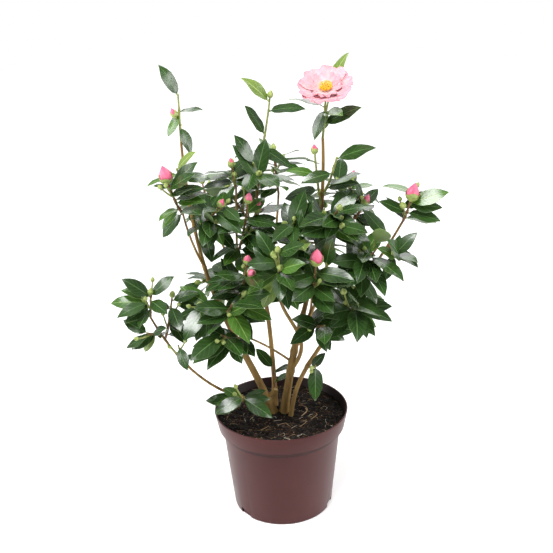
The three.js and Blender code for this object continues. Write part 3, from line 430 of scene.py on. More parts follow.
# %% Masses of foliage
MASSES = {
    "foliage_left_top": dict(
        on="bough_left_tall", at=1, tip=(-141, 0, 712), end="leaf", side="tipped", reach=12, turn=330,
        leaves=((0.97, 340, 52, 22), (0.72, 200, 38, 72), (0.68, 330, 38, 140), (0.42, 220, 44, 145)),
        twig=(),
    ),
    "foliage_left_upper": dict(
        on="bough_left_tall", at=0.72, tip=(-148, -24, 604), end="leaf",
        leaves=((0.95, 190, 46, 45), (0.7, 0, 52, 75), (0.45, 20, 50, 105), (0.5, 200, 44, 100)),
    ),
    "foliage_left_outer": dict(
        on="bough_left_outer", at=1, tip=(-159, -50, 588), end="pink",
        leaves=(
            (0.85, 185, 60, 48, 0.6), (0.93, 0, 24, 60), (0.5, 200, 48, 88), (0.05, 352, 52, 100, -0.6),
            (0.3, 330, 40, 95), (0.2, 180, 52, 70),
        ),
    ),
    "foliage_left_inner": dict(
        on="bough_left_tall", at=0.38, tip=(-86, -42, 548), end="tipped",
        leaves=(
            (0.04, 355, 46, 98), (0.25, 200, 60, 92), (0.4, 330, 54, 95), (0.5, 190, 62, 80),
            (0.62, 260, 56, 85), (0.75, 20, 52, 75), (0.84, 170, 56, 62), (0.92, 300, 46, 62),
        ),
    ),
    "foliage_inner_top": dict(
        on="bough_inner_left", at=1, tip=(-66, 12, 594), end="tipped",
        leaves=((0.7, 0, 56, 78), (0.5, 220, 46, 92), (0.85, 150, 42, 60), (0.25, 320, 50, 105)),
    ),
    "foliage_pink_pair": dict(
        on="bough_inner_left", at=0.6, tip=(-42, -36, 550), leaves=8, leaf=58, end="rose", side="rose",
    ),
    "foliage_mid_top": dict(
        on="bough_mid_left", at=1, tip=(-4, 25, 698),
        leaves=(
            (0.95, 350, 56, 48, -0.9), (0.82, 190, 56, 66, 0.5), (0.42, 345, 56, 38, -1),
            (0.06, 345, 54, 118), (0.1, 200, 56, 100),
        ),
    ),
    "foliage_mid_upper": dict(
        on="bough_mid_left", at=0.72, tip=(-32, -8, 606), leaves=7, leaf=58, end="leaf", shoots=1,
    ),
    "foliage_flower": dict(
        on="bough_flower", at=1, tip=(80, -8, 712), end="flower", shoots=1, reach=68, turn=108,
        leaves=(
            (0.4, 200, 62, 52, 0.8), (0.64, 155, 54, 72, 0.6), (0.74, 5, 56, 70), (0.7, 325, 48, 150),
            (0.66, 215, 42, 145),
        ),
        twig=((0.97, 190, 52, 16), (0.8, 10, 40, 60)),
    ),
    "foliage_flower_right": dict(
        on="bough_flower", at=0.72, tip=(94, -30, 616), end="leaf",
        leaves=((0.97, 190, 62, 45), (0.4, 185, 60, 30), (0.3, 90, 52, 40), (0.7, 330, 50, 90)),
    ),
    "foliage_flower_front": dict(
        on="bough_flower", at=0.6, tip=(94, -64, 545), leaves=7, leaf=62, shoots=1,
    ),
    "foliage_flower_left": dict(
        on="bough_flower", at=0.66, tip=(62, -14, 618), end="tipped",
        leaves=((0.88, 350, 58, 98), (0.6, 20, 54, 84), (0.45, 335, 64, 104), (0.7, 170, 48, 60)),
    ),
    "foliage_centre_upper": dict(
        on="bough_flower", at=0.48, tip=(16, -48, 516), leaves=8, leaf=62, side="green",
    ),
    "foliage_right_top": dict(
        on="bough_right_up", at=1, tip=(138, 0, 532), end="rose",
        leaves=(
            (0.9, 350, 48, 30), (0.85, 200, 62, 104), (0.6, 245, 64, 122), (0.4, 300, 58, 112),
            (0.3, 20, 52, 70),
        ),
    ),
    "foliage_right_outer": dict(
        on="bough_right_out", at=1, tip=(206, -34, 546), end="pink", side="green", reach=12, turn=340,
        leaves=((0.93, 188, 60, 52, 0.6), (0.6, 8, 46, 80), (0.3, 345, 44, 62)),
        twig=(),
    ),
    "foliage_right_lower": dict(
        on="bough_right_out", at=0.72, tip=(188, -60, 460), end="leaf", side="rose", reach=14, turn=290,
        leaves=((0.97, 350, 60, 50), (0.2, 0, 56, 30), (0.7, 285, 46, 75), (0.5, 180, 44, 50)),
        twig=((0.6, 330, 30, 60),),
    ),
    "foliage_right_mid": dict(
        on="bough_right_up", at=0.4, tip=(152, -62, 480), leaves=9, leaf=66, end="leaf", shoots=1,
    ),
    "foliage_right_low": dict(
        on="stem_right", at=0.84, tip=(124, -64, 392), leaves=8, leaf=62, end="leaf", shoots=1,
    ),
    "foliage_centre_right": dict(
        on="bough_flower", at=0.1, tip=(72, -72, 360), leaves=7, leaf=60, end="leaf",
    ),
    "foliage_centre_bud": dict(
        on="bough_front_right", at=1, tip=(58, -90, 466), leaves=9, leaf=60, end="pink", shoots=1,
    ),
    "foliage_centre_front": dict(
        on="bough_twist", at=1, tip=(4, -98, 464), shoots=1, side="green",
        leaves=(
            (0.97, 195, 52, 32), (0.85, 350, 54, 70), (0.75, 250, 56, 85), (0.6, 190, 60, 85),
            (0.5, 20, 56, 80), (0.3, 290, 58, 100), (0.1, 340, 60, 100),
        ),
    ),
    "foliage_centre_left": dict(
        on="bough_inner_left", at=0.34, tip=(-46, -62, 462), leaves=9, leaf=62, end="rose", shoots=1,
        side="rose",
    ),
    "foliage_left_front": dict(
        on="stem_left", at=0.78, tip=(-70, -90, 408), leaves=9, leaf=62, end="leaf", shoots=1,
    ),
    "foliage_left_side": dict(on="stem_left", at=0.84, tip=(-120, -54, 392), leaves=7, leaf=58),
    "foliage_left_low": dict(
        on="bough_thin_left", at=1, tip=(-90, -80, 352), leaves=8, leaf=64, end="leaf",
    ),
    "foliage_branch_tip": dict(
        on="bough_low", at=1, tip=(-199, -50, 410), side="green", reach=14, turn=0,
        leaves=(
            (0.95, 352, 52, 50, -0.5), (0.97, 182, 50, 40, 0.5), (0.5, 290, 46, 98), (0.12, 330, 40, 105),
            (0.3, 20, 56, 72),
        ),
        twig=((0.9, 0, 56, 62, -0.3),),
    ),
    "foliage_branch_upper": dict(
        on="bough_low", at=0.86, tip=(-168, -34, 398),
        leaves=(
            (0.95, 180, 46, 60, 0.4), (0.85, 200, 52, 106), (0.6, 212, 46, 126), (0.3, 190, 42, 84, 0.5),
            (0.8, 330, 34, 80),
        ),
    ),
    "foliage_branch_lower": dict(
        on="bough_low", at=0.92, tip=(-205, -74, 356), end="leaf",
        leaves=((0.97, 55, 44, 62), (0.3, 15, 40, 84), (0.6, 200, 38, 60)),
    ),
    "foliage_branch_middle": dict(
        on="bough_low", at=0.66, tip=(-160, -62, 328), end="leaf",
        leaves=((0.95, 255, 42, 100), (0.5, 190, 26, 60)),
    ),
    "foliage_rim": dict(
        on="bough_low", at=0.2, tip=(-60, -74, 240), end="leaf",
        leaves=((0.95, 330, 52, 80), (0.9, 210, 56, 85), (0.6, 170, 46, 60), (0.4, 0, 60, 85)),
    ),
    "foliage_low_left": dict(
        on="stem_back", at=0.12, tip=(-12, 12, 250), end="leaf",
        leaves=((0.95, 352, 44, 50, -0.6), (0.8, 165, 38, 62), (0.45, 150, 36, 70)),
    ),
    "foliage_low_right": dict(
        on="stem_right", at=0.4, tip=(57, -60, 285), end="leaf",
        leaves=((0.97, 264, 55, 82, 0.15), (0.4, 100, 36, 62)),
    ),
    "foliage_back_left_top": dict(
        on="bough_back_left", at=1, tip=(-124, 146, 535), leaves=9, leaf=58, end="tipped", shoots=1,
    ),
    "foliage_back_left_low": dict(
        on="bough_back_left", at=0.55, tip=(-122, 106, 376), leaves=9, leaf=58, shoots=1,
    ),
    "foliage_back_mid_top": dict(on="bough_back_mid", at=1, tip=(0, 146, 590), leaves=9, leaf=58, shoots=1),
    "foliage_back_mid_low": dict(
        on="bough_back_mid", at=0.35, tip=(6, 152, 400), leaves=9, leaf=60, end="rose", shoots=1,
    ),
    "foliage_back_right_top": dict(
        on="bough_back_right", at=1, tip=(132, 138, 538), leaves=9, leaf=58, end="tipped", shoots=1,
    ),
    "foliage_back_right_low": dict(
        on="bough_back_right", at=0.5, tip=(134, 100, 378), leaves=9, leaf=58, shoots=1,
    ),
    "foliage_inner_back_left": dict(
        on="bough_mid_left", at=0.42, tip=(-76, 84, 542), leaves=9, leaf=56, shoots=1,
    ),
    "foliage_inner_back_right": dict(
        on="bough_flower", at=0.36, tip=(74, 86, 524), leaves=9, leaf=56, shoots=1,
    ),
}

# %% Sizes of the rule
POT = dict(
    height=180, base=85, shoulder=99.5, band=107.5, rim=113, band_height=30, step=10, wall=2.4, corner=3,
)
GROWTH = dict(
    seed=101, spiral=137.5, tries=8, turn=47, room=1.2, rim=4, share=10, marks=(0.3, 0.65, 1), spread_play=16,
    turn_play=30,
)
TWIG = dict(foot=2, tip=1.4, sag=0.1, steps=3)
SHOOT = dict(
    foot=1.6, tip=1.2, length=40, stretch=(0.85, 1.1), sag=0.06, leaves=3, span=(0.3, 0.7), bare=0.3,
    forward=0.7, out=0.6, up=0.25, steps=2,
)
LIMB_STEPS = 8
LEAF = dict(
    full=54, width=0.44, widest=(0.36, 0.74), taper=0.68, keel=1, sunk=0.4, bare=0.24, span=(0.18, 0.86),
    tip=0.97, crowd=0.75, spread=(72, 50), ahead=22, hang=0.5, slope=0.5, roll=0.6, bend=(0.08, 0.26),
    length=(0.84, 1.12), face_up=1, face_ahead=0.3, face_out=0.5,
)
CROWN = dict(middle=(0, 75), wide=320, deep=90)
BUDS = {
    "green": dict(length=13, radius=4.6),
    "tipped": dict(length=17, radius=5.4),
    "rose": dict(length=20, radius=6.6),
    "pink": dict(length=31, radius=10.5),
}
FLOWER = dict(petals=9, radius=42, depth=13, ruffle=2.5, rise=58, lean=-0.1, corners=8)


# %% What takes up room
class Thing:
    """A convex set of points that leaves must miss, `pad` thick: its edges, and the ways its faces look."""

    def __init__(self, owner, points, faces, pad):
        self.owner, self.pad = owner, pad
        self.points = np.array(points)
        edges = np.roll(self.points, -1, axis=0) - self.points
        self.edges = edges / np.linalg.norm(edges, axis=1)[:, None]
        self.faces = np.array(faces, float).reshape(-1, 3)
        self.centre = self.points.mean(axis=0)
        self.reach = float(np.linalg.norm(self.points - self.centre, axis=1).max()) + pad


def things_along(owner, path, radius, steps):
    """A path as a few straight things, end to end."""
    ends = [path.place(i / steps) for i in range(steps + 1)]
    return [Thing(owner, (ends[i], ends[i + 1]), [], radius(i / steps)) for i in range(steps)]


def room_between(a, b):
    """The room between two things, in the direction that shows the most of it."""
    crossed = np.cross(a.edges[:, None], b.edges[None]).reshape(-1, 3)
    ways = np.vstack([a.faces, b.faces, crossed])
    sizes = np.linalg.norm(ways, axis=1)
    ways, sizes = ways[sizes >= 1e-6], sizes[sizes >= 1e-6]
    far_a, far_b = a.points @ ways.T, b.points @ ways.T
    gaps = np.maximum(far_a.min(0) - far_b.max(0), far_b.min(0) - far_a.max(0)) / sizes
    return float(gaps.max()) - a.pad - b.pad


class Taken:
    """All the room that is taken, with its middles and reaches kept apart for a quick first look."""

    def __init__(self, most=8000):
        self.things = []
        self.centres, self.reaches = np.zeros((most, 3)), np.zeros(most)

    def add(self, thing):
        self.centres[len(self.things)] = thing.centre
        self.reaches[len(self.things)] = thing.reach
        self.things.append(thing)

    def is_free(self, thing, room):
        count = len(self.things)
        far = np.linalg.norm(self.centres[:count] - thing.centre, axis=1)
        near = np.flatnonzero(far <= thing.reach + self.reaches[:count] + room)
        others = (self.things[i] for i in near if self.things[i].owner != thing.owner)
        return all(room_between(thing, other) > room for other in others)


# %% Leaves and shoots of the rule
def leaf_at(mass, twig, draw, around):
    """A leaf leaves its twig towards `around` degrees round it, with its face to the light."""
    heading = twig["path"].heading(draw["share"])
    side, over = across(heading)
    turn, spread = around * DEGREE, draw["spread"] * DEGREE
    outward = side * math.cos(turn) + over * math.sin(turn)
    way = heading * math.cos(spread) + outward * math.sin(spread) - UP * draw["hang"]
    way = unit(way * (1, 1, draw["slope"]))
    base = twig["path"].place(draw["share"])
    middle = CROWN["middle"]
    light = np.array(((base[0] - middle[0]) / CROWN["wide"], (base[1] - middle[1]) / CROWN["deep"], 0))
    face = UP * LEAF["face_up"] + heading * LEAF["face_ahead"] + light * LEAF["face_out"]
    face = face + np.cross(way, UP) * draw["roll"]
    return blade(mass["name"], base - way * LEAF["sunk"], way, face, draw["length"], draw["bend"])


def blade(owner, root, way, face, length, bend):
    """A leaf of the rule: six points round a pointed oval that bends down along its length."""
    lift = unit(face - way * float(face @ way))
    side = np.cross(way, lift)

    def at(out, wide):
        height = (LEAF["keel"] if wide else 0) - bend * out * out * length
        return root + way * (out * length) + side * (wide * LEAF["width"] * length) + lift * height

    (near, far), broad = LEAF["widest"], 0.5 * LEAF["taper"]
    outline = [at(0, 0), at(near, 0.5), at(far, broad), at(1, 0), at(far, -broad), at(near, -0.5)]
    free = [at(LEAF["bare"], 0), *outline[1:]]
    normals = [unit(np.cross(free[(i + 1) % len(free)] - p, lift)) for i, p in enumerate(free)]
    return {
        "outline": np.array(outline), "root": root, "way": way, "side": side, "lift": lift,
        "length": length, "bend": bend, "thing": Thing(owner, free, [lift, *normals], LEAF["keel"]),
    }


def shoot_at(stem, share, around, length):
    """A side twig, which leaves the stem forwards, outwards and a little up."""
    heading = stem["path"].heading(share)
    side, over = across(heading)
    turn = around * DEGREE
    way = heading * SHOOT["forward"] + side * (SHOOT["out"] * math.cos(turn))
    way = unit(way + over * (SHOOT["out"] * math.sin(turn)) + UP * SHOOT["up"])
    start = stem["path"].place(share)
    path = Path(start, start + way * length, (0, 0, -SHOOT["sag"] * length))
    return {"path": path, "radius": taper(SHOOT["foot"], SHOOT["tip"])}


def keeps_its_space(leaf, masses):
    """A leaf stays above the pot's rim, and nearer to its own mass's stem than to any other."""
    if (leaf["outline"][:, 2] < POT["height"] + GROWTH["rim"]).any():
        return False
    thing = leaf["thing"]
    far = {name: np.linalg.norm(mass["marks"] - thing.centre, axis=1).min() for name, mass in masses.items()}
    return min(far.values()) >= far[thing.owner] - GROWTH["share"]


# %% Buds of the rule
def add_bud(mass, taken, kind, root, way):
    bud = BUDS[kind]
    mass["buds"].append({"kind": kind, "root": root, "way": way})
    taken.add(Thing(mass["name"], (root, root + way * bud["length"]), [], bud["radius"]))


def grow_buds(mass, taken):
    """The bud or flower at the tip, the side bud on a twig of its own, and the side shoots."""
    name, row, stem, random = (mass[key] for key in ("name", "row", "stem", "random"))
    end, tip = row.get("end", "green"), stem["path"].place(1)
    if end == "flower":
        rise = FLOWER["rise"] * DEGREE
        way = unit(np.array((FLOWER["lean"], -math.cos(rise), math.sin(rise))))
        mass["flower"] = {"root": tip, "way": way}
        side, over = across(way)
        turns = [i * TAU / FLOWER["corners"] for i in range(FLOWER["corners"])]
        middle = tip + way * (FLOWER["depth"] / 2)
        rim = [middle + (side * math.cos(a) + over * math.sin(a)) * FLOWER["radius"] for a in turns]
        taken.add(Thing(name, rim, [way], FLOWER["ruffle"] + FLOWER["depth"] / 2))
    elif end != "leaf":
        add_bud(mass, taken, end, tip, stem["path"].heading(1))
    wanted = ["green"] * row.get("shoots", 0) + ([row["side"]] if "side" in row else [])
    for i, kind in enumerate(wanted):
        share = mix(*SHOOT["span"], i / (len(wanted) - 1) if len(wanted) > 1 else 0.5)
        first = (row["turn"] if "turn" in row else 360 * random()) + GROWTH["spiral"] * i
        length = row.get("reach", SHOOT["length"]) * mix(*SHOOT["stretch"], random())
        for turn in range(GROWTH["tries"]):
            twig = shoot_at(stem, share, first + turn * GROWTH["turn"], length)
            way = twig["path"].heading(1)
            far = twig["path"].place(1) + way * BUDS[kind]["length"]
            thing = Thing(name, (twig["path"].place(SHOOT["bare"]), far), [], BUDS[kind]["radius"])
            if turn < GROWTH["tries"] - 1 and not taken.is_free(thing, GROWTH["room"]):
                continue
            mass["twigs"].append(twig)
            for piece in things_along(name, twig["path"], twig["radius"], SHOOT["steps"]):
                taken.add(piece)
            add_bud(mass, taken, kind, twig["path"].place(1), way)
            break


# %% The rule itself
def place_leaf(mass, masses, taken, twig, draw, around, fits=None):
    """Turns a leaf on round its twig until it has room, or leaves it out."""
    for turn in range(GROWTH["tries"]):
        leaf = leaf_at(mass, twig, draw, around + turn * GROWTH["turn"])
        if not keeps_its_space(leaf, masses) or not taken.is_free(leaf["thing"], GROWTH["room"]):
            continue
        if any(room_between(leaf["thing"], other["thing"]) < 0 for other in mass["leaves"]):
            continue
        if fits and not fits(leaf):
            continue
        leaf["share"], leaf["twig"] = draw["share"], twig
        mass["leaves"].append(leaf)
        taken.add(leaf["thing"])
        return


def draw_leaf(share, spread, full, random):
    """All that chance says of a leaf at a share of its twig."""
    return {
        "share": share,
        "spread": spread,
        "hang": LEAF["hang"] * random(),
        "roll": 2 * LEAF["roll"] * (random() - 0.5),
        "bend": mix(*LEAF["bend"], random()),
        "length": full * mix(*LEAF["length"], random()),
        "slope": LEAF["slope"],
    }


def grow_leaves(mass, masses, taken):
    """Leaves stand round each twig in a spiral, closer together towards its tip."""
    row, random = mass["row"], mass["random"]
    full, on_twigs = row.get("leaf", LEAF["full"]), row.get("twig", SHOOT["leaves"])
    twigs = [(mass["stem"], row["leaves"])] + [(twig, on_twigs) for twig in mass["twigs"]]
    for twig, leaves in twigs:
        named = None if isinstance(leaves, int) else leaves
        count = leaves if named is None else len(named)
        first = 360 * random()
        for i in range(count):
            rank = i / (count - 1) if count > 1 else 1
            last = i == count - 1 and (row.get("end") == "leaf" or count == SHOOT["leaves"])
            share = mix(LEAF["span"][0], LEAF["tip"] if last else LEAF["span"][1], rank ** LEAF["crowd"])
            spread = LEAF["ahead"] if last else mix(*LEAF["spread"], rank)
            draw = draw_leaf(share, spread + GROWTH["spread_play"] * (random() - 0.5), full, random)
            around = first + GROWTH["spiral"] * i + GROWTH["turn_play"] * (random() - 0.5)
            if named is not None:
                draw["share"], around, draw["length"], draw["spread"], *roll = named[i]
                draw["roll"] = roll[0] if roll else draw["roll"]
                draw["hang"], draw["slope"] = 0, 1
            place_leaf(mass, masses, taken, twig, draw, around)


def grow_masses():
    taken, masses = Taken(), {}
    for limb in limbs.values():
        for thing in things_along("", limb["path"], limb["radius"], LIMB_STEPS):
            taken.add(thing)
    for i, (name, row) in enumerate(MASSES.items()):
        start = limbs[row["on"]]["path"].place(row["at"])
        sag = -TWIG["sag"] * float(np.linalg.norm(np.array(row["tip"]) - start))
        stem = {"path": Path(start, row["tip"], (0, 0, sag)), "radius": taper(TWIG["foot"], TWIG["tip"])}
        marks = np.array([stem["path"].place(t) for t in GROWTH["marks"]])
        mass = {"name": name, "row": row, "stem": stem, "marks": marks, "twigs": [], "buds": [], "leaves": []}
        masses[name] = {**mass, "random": random_from(GROWTH["seed"] + 7 * i), "flower": None}
        for thing in things_along(name, stem["path"], stem["radius"], TWIG["steps"]):
            taken.add(thing)
    for mass in masses.values():
        grow_buds(mass, taken)
    for mass in masses.values():
        grow_leaves(mass, masses, taken)
    return masses, taken


masses, taken = grow_masses()
coarse = sum(len(mass["leaves"]) for mass in masses.values())
print(len(masses), "masses,", coarse, "leaves,", sum(len(mass["buds"]) for mass in masses.values()), "buds")

# %% [markdown]
# ## Finer growth
# A coarse mass holds fewer leaves than the plant. The same rule is carried on here, from seeds of its
# own: more leaves on each stem and short twigs with three leaves and a bud. Every one keeps inside the
# box that its coarse mass fills, so the crown keeps its outline and its gaps. The thin sprays at the top
# get none, as they are open.

# %% More leaves and short twigs
FINE = dict(
    seed=5003, below=600, twigs=2, span=(0.25, 0.9), twig_length=26, stretch=(0.7, 1.1), stem_leaves=6,
    stem_leaf=0.92, leaf=0.86, bud=0.7, room_to=1.2,
)


def inside_of(name):
    """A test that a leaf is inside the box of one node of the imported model."""
    low, high = (np.array(corner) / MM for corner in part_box(name))

    def fits(leaf):
        points = leaf["outline"]
        return bool((points >= low).all() and (points <= high).all())

    return fits


def carry_on(mass, masses, taken, random):
    """More leaves on the stem of a mass, and short twigs with leaves where there is room."""
    fits, stem = inside_of(mass["name"]), mass["stem"]
    full = mass["row"].get("leaf", LEAF["full"])
    jobs = [(stem, FINE["stem_leaves"], full * FINE["stem_leaf"])]
    for i in range(FINE["twigs"]):
        start = 360 * random() + GROWTH["spiral"] * i
        share, length = mix(*FINE["span"], random()), FINE["twig_length"] * mix(*FINE["stretch"], random())
        twig = shoot_at(stem, share, start, length)
        path = twig["path"]
        ends = (path.place(SHOOT["bare"]), path.place(FINE["room_to"]))
        reach = Thing(mass["name"], ends, [], SHOOT["foot"])
        if taken.is_free(reach, GROWTH["room"]):
            bud = {"kind": "green", "root": path.place(1), "way": path.heading(1), "size": FINE["bud"]}
            mass["twigs"].append(twig)
            mass["buds"].append(bud)
            jobs.append((twig, SHOOT["leaves"], full * FINE["leaf"]))
    for twig, leaves, size in jobs:
        first = 360 * random()
        for i in range(leaves):
            share, spread = mix(*LEAF["span"], random()), mix(*LEAF["spread"], random())
            draw = draw_leaf(share, spread, size, random)
            place_leaf(mass, masses, taken, twig, draw, first + GROWTH["spiral"] * i, fits)


for i, mass in enumerate(masses.values()):
    if mass["row"]["tip"][2] < FINE["below"]:
        carry_on(mass, masses, taken, random_from(FINE["seed"] + 11 * i))
leaves = [leaf for mass in masses.values() for leaf in mass["leaves"]]
print(len(leaves) - coarse, "finer leaves,", len(leaves), "in all")

# %% [markdown]
# ## Modelling once, copying often
# A leaf, a petal and a bud scale are all thin blades: a grid whose rows are moved and narrowed to the
# outline, then given thickness by a Solidify modifier. A twig is a cylinder with rings. Each is modelled
# once. `Pattern` reads the finished shape into arrays, and `copies` writes hundreds of them as one mesh,
# each bent on its own.

# %% Choosing and copying
FAR_OFF = 100


def choose(obj, kind, test):
    """Goes into edit mode with only those vertices, edges or faces selected whose place passes a test."""
    bpy.ops.object.mode_set(mode="EDIT")
    bpy.ops.mesh.select_mode(type=kind)
    bpy.ops.mesh.select_all(action="DESELECT")
    bpy.ops.object.mode_set(mode="OBJECT")
    mesh = obj.data
    if kind == "VERT":
        for vertex in mesh.vertices:
            vertex.select = test(vertex.co)
    elif kind == "EDGE":
        for edge in mesh.edges:
            edge.select = test(*(mesh.vertices[i].co for i in edge.vertices))
    else:
        for face in mesh.polygons:
            face.select = test(face)
    bpy.ops.object.mode_set(mode="EDIT")


def apply_modifiers(obj):
    bpy.ops.object.mode_set(mode="OBJECT")
    bpy.context.view_layer.objects.active = obj
    for modifier in list(obj.modifiers):
        bpy.ops.object.modifier_apply(modifier=modifier.name)


def read(items, field, width, kind=np.float32):
    values = np.zeros(len(items) * width, kind)
    items.foreach_get(field, values)
    return values.reshape(-1, width) if width > 1 else values


class Pattern:
    """A modelled shape as arrays. Its object is removed."""

    def __init__(self, obj):
        mesh = obj.data
        self.points = read(mesh.vertices, "co", 3).astype(float)
        self.corners = read(mesh.loops, "vertex_index", 1, np.int32)
        self.sizes = read(mesh.polygons, "loop_total", 1, np.int32)
        self.slots = read(mesh.polygons, "material_index", 1, np.int32)
        self.uvs = read(mesh.uv_layers.active.data, "uv", 2)
        bpy.data.objects.remove(obj)


def copies(name, pattern, placed, materials, smooth=40):
    """One object that holds a copy of the pattern for each set of places, which are in millimetres."""
    placed = np.array(placed)
    count, points = placed.shape[:2]
    mesh = bpy.data.meshes.new(name)
    mesh.vertices.add(count * points)
    mesh.vertices.foreach_set("co", (placed * MM).ravel())
    corners = pattern.corners[None] + points * np.arange(count)[:, None]
    mesh.loops.add(corners.size)
    mesh.loops.foreach_set("vertex_index", corners.ravel().astype(np.int32))
    sizes = np.tile(pattern.sizes, count)
    mesh.polygons.add(len(sizes))
    mesh.polygons.foreach_set("loop_start", (np.cumsum(sizes) - sizes).astype(np.int32))
    mesh.polygons.foreach_set("material_index", np.tile(pattern.slots, count))
    mesh.uv_layers.new(name="UVMap").data.foreach_set("uv", np.tile(pattern.uvs, (count, 1)).ravel())
    for material in materials:
        mesh.materials.append(material)
    mesh.update(calc_edges=True)
    mesh.validate()
    obj = bpy.data.objects.new(name, mesh)
    bpy.context.collection.objects.link(obj)
    smooth_over(obj, smooth)
    return obj


def smooth_over(obj, degrees):
    bpy.ops.object.select_all(action="DESELECT")
    bpy.context.view_layer.objects.active = obj
    obj.select_set(True)
    bpy.ops.object.shade_smooth_by_angle(angle=math.radians(degrees))
    obj.select_set(False)


def joined(name, *objects):
    """Several objects made one."""
    bpy.ops.object.select_all(action="DESELECT")
    for obj in objects:
        obj.select_set(True)
    bpy.context.view_layer.objects.active = objects[0]
    bpy.ops.object.join()
    objects[0].name = name
    objects[0].select_set(False)
    return objects[0]


def keep(obj, slot, *stands_for):
    """Every piece rides on the one body and may stand for nodes of the model. `slot`, its finish's name, is
    not used.
    """
    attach(obj, "root")
    if stands_for:
        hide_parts(*stands_for)
    print(f"{obj.name}: {len(obj.data.polygons)} faces")


def keep_foliage(obj):
    """A piece of the crown stands for all the masses at once."""
    keep(obj, "foliage", *foliage_nodes)


# %% A blade and a rod
def sheet(name, rows, columns):
    """A closed blade, 1 long and from -1 to 1 wide. Rows are (share of the length, share of the width)."""
    bpy.ops.mesh.primitive_grid_add(
        x_subdivisions=len(columns) - 1, y_subdivisions=len(rows) - 1, size=2, location=(0, 0, 0)
    )
    obj = bpy.context.object
    obj.name = name
    bpy.ops.object.mode_set(mode="EDIT")
    bpy.ops.transform.translate(value=(FAR_OFF, FAR_OFF, 0))
    for i, column in enumerate(columns):
        now = FAR_OFF + mix(-1, 1, i / (len(columns) - 1))
        choose(obj, "VERT", lambda p: abs(p.x - now) < 0.01)
        bpy.ops.transform.translate(value=(column - now, 0, 0))
    for i, (share, half) in enumerate(rows):
        now = FAR_OFF + mix(-1, 1, i / (len(rows) - 1))
        choose(obj, "VERT", lambda p: abs(p.y - now) < 0.01)
        bpy.ops.transform.resize(value=(half, 1, 1), center_override=(0, now, 0))
        bpy.ops.transform.translate(value=(0, share - now, 0))
    bpy.ops.object.mode_set(mode="OBJECT")
    solidify = obj.modifiers.new("thickness", "SOLIDIFY")
    solidify.thickness = 1
    solidify.offset = -1
    solidify.material_offset = solidify.material_offset_rim = 1
    for side in ("_upper", "_under", "_rib"):
        obj.data.materials.append(bpy.data.materials.new(name + side))
    apply_modifiers(obj)
    return obj


def rod(name, sides, rings):
    """A cylinder 1 in radius from z -0.5 to 0.5, cut into rings."""
    bpy.ops.mesh.primitive_cylinder_add(vertices=sides, radius=1, depth=1)
    obj = bpy.context.object
    obj.name = name
    choose(obj, "EDGE", lambda a, b: abs(a.z - b.z) > 0.5)
    bpy.ops.mesh.subdivide(number_cuts=rings - 1)
    bpy.ops.object.mode_set(mode="OBJECT")
    return Pattern(obj)


def along_path(pattern, path, radius, low=0, high=1, relief=None):
    """A rod bent along a path. `relief` is how far the surface stands off at places in millimetres."""
    levels = np.round(pattern.points[:, 2] + 0.5, 6)
    placed = np.empty_like(pattern.points)
    for level in np.unique(levels):
        t = mix(low, high, level)
        side, over = across(path.heading(t))
        ring = levels == level
        outward = np.outer(pattern.points[ring, 0], side) - np.outer(pattern.points[ring, 1], over)
        places = path.place(t) + outward * radius(min(max(t, 0), 1))
        placed[ring] = places + (outward * relief(places)[:, None] if relief else 0)
    return placed


LEAF_ROWS = [
    (0, 0.07), (0.09, 0.07), (0.18, 0.56), (0.32, 0.9), (0.5, 1), (0.67, 0.9), (0.82, 0.62), (0.93, 0.28),
    (1, 0.03),
]
LEAF_COLUMNS = (-1, -0.05, 0.05, 1)
STALK = 0.1


def model_leaf():
    """A leaf blade whose stalk and midrib have a slot of their own."""
    obj = sheet("leaf", LEAF_ROWS, LEAF_COLUMNS)
    for face in obj.data.polygons:
        middle = abs(face.center.x) < 0.01 and face.material_index == 0 and face.normal.z > 0.5
        if middle or face.center.y < STALK:
            face.material_index = 2
    return Pattern(obj)


leaf_pattern = model_leaf()
bough_rod, twig_rod = rod("bough_rod", 18, 90), rod("twig_rod", 8, 10)
print("patterns:", len(leaf_pattern.sizes), "faces a leaf,", len(bough_rod.sizes), "a bough,",
      len(twig_rod.sizes), "a twig")

# %% [markdown]
# ## Leaves
# A camellia leaf is a thick, pointed oval on a short stalk, folded a little along its midrib and bent
# down at its tip, and its upper face is as glossy as wax. The underside is paler and dull. Most leaves
# are deep green, one in eight is fresher, and the newest are lime. Each colour is a piece of its own, and
# the midrib is a narrow strip of faces with a paler finish.

# %% Leaf finishes
def add_veins(material, pale, share=0.35, raised=0.5):
    """Draws paler, raised side veins on a finish of this lesson."""
    tree = material.node_tree
    shader, bump = tree.nodes["Principled BSDF"], tree.nodes["Bump"]
    veins = add_node(tree, "Group", node_tree=VEINS)
    tint = add_node(tree, "Mix", data_type="RGBA")
    tint.inputs["B"].default_value = linear(*pale)
    total = add_node(tree, "Math", operation="ADD")
    paleness = chain(tree, veins.outputs["Mask"], ("MULTIPLY", share))
    ridge = chain(tree, veins.outputs["Mask"], ("MULTIPLY", raised))
    join(
        tree,
        (tree.nodes["Texture Coordinate"].outputs["UV"], veins.inputs["Vector"]),
        (paleness, tint.inputs["Factor"]),
        (shader.inputs["Base Color"].links[0].from_socket, tint.inputs["A"]),
        (tint.outputs["Result"], shader.inputs["Base Color"]),
        (bump.inputs["Height"].links[0].from_socket, total.inputs[0]),
        (ridge, total.inputs[1]),
        (total.outputs[0], bump.inputs["Height"]),
    )
    return material


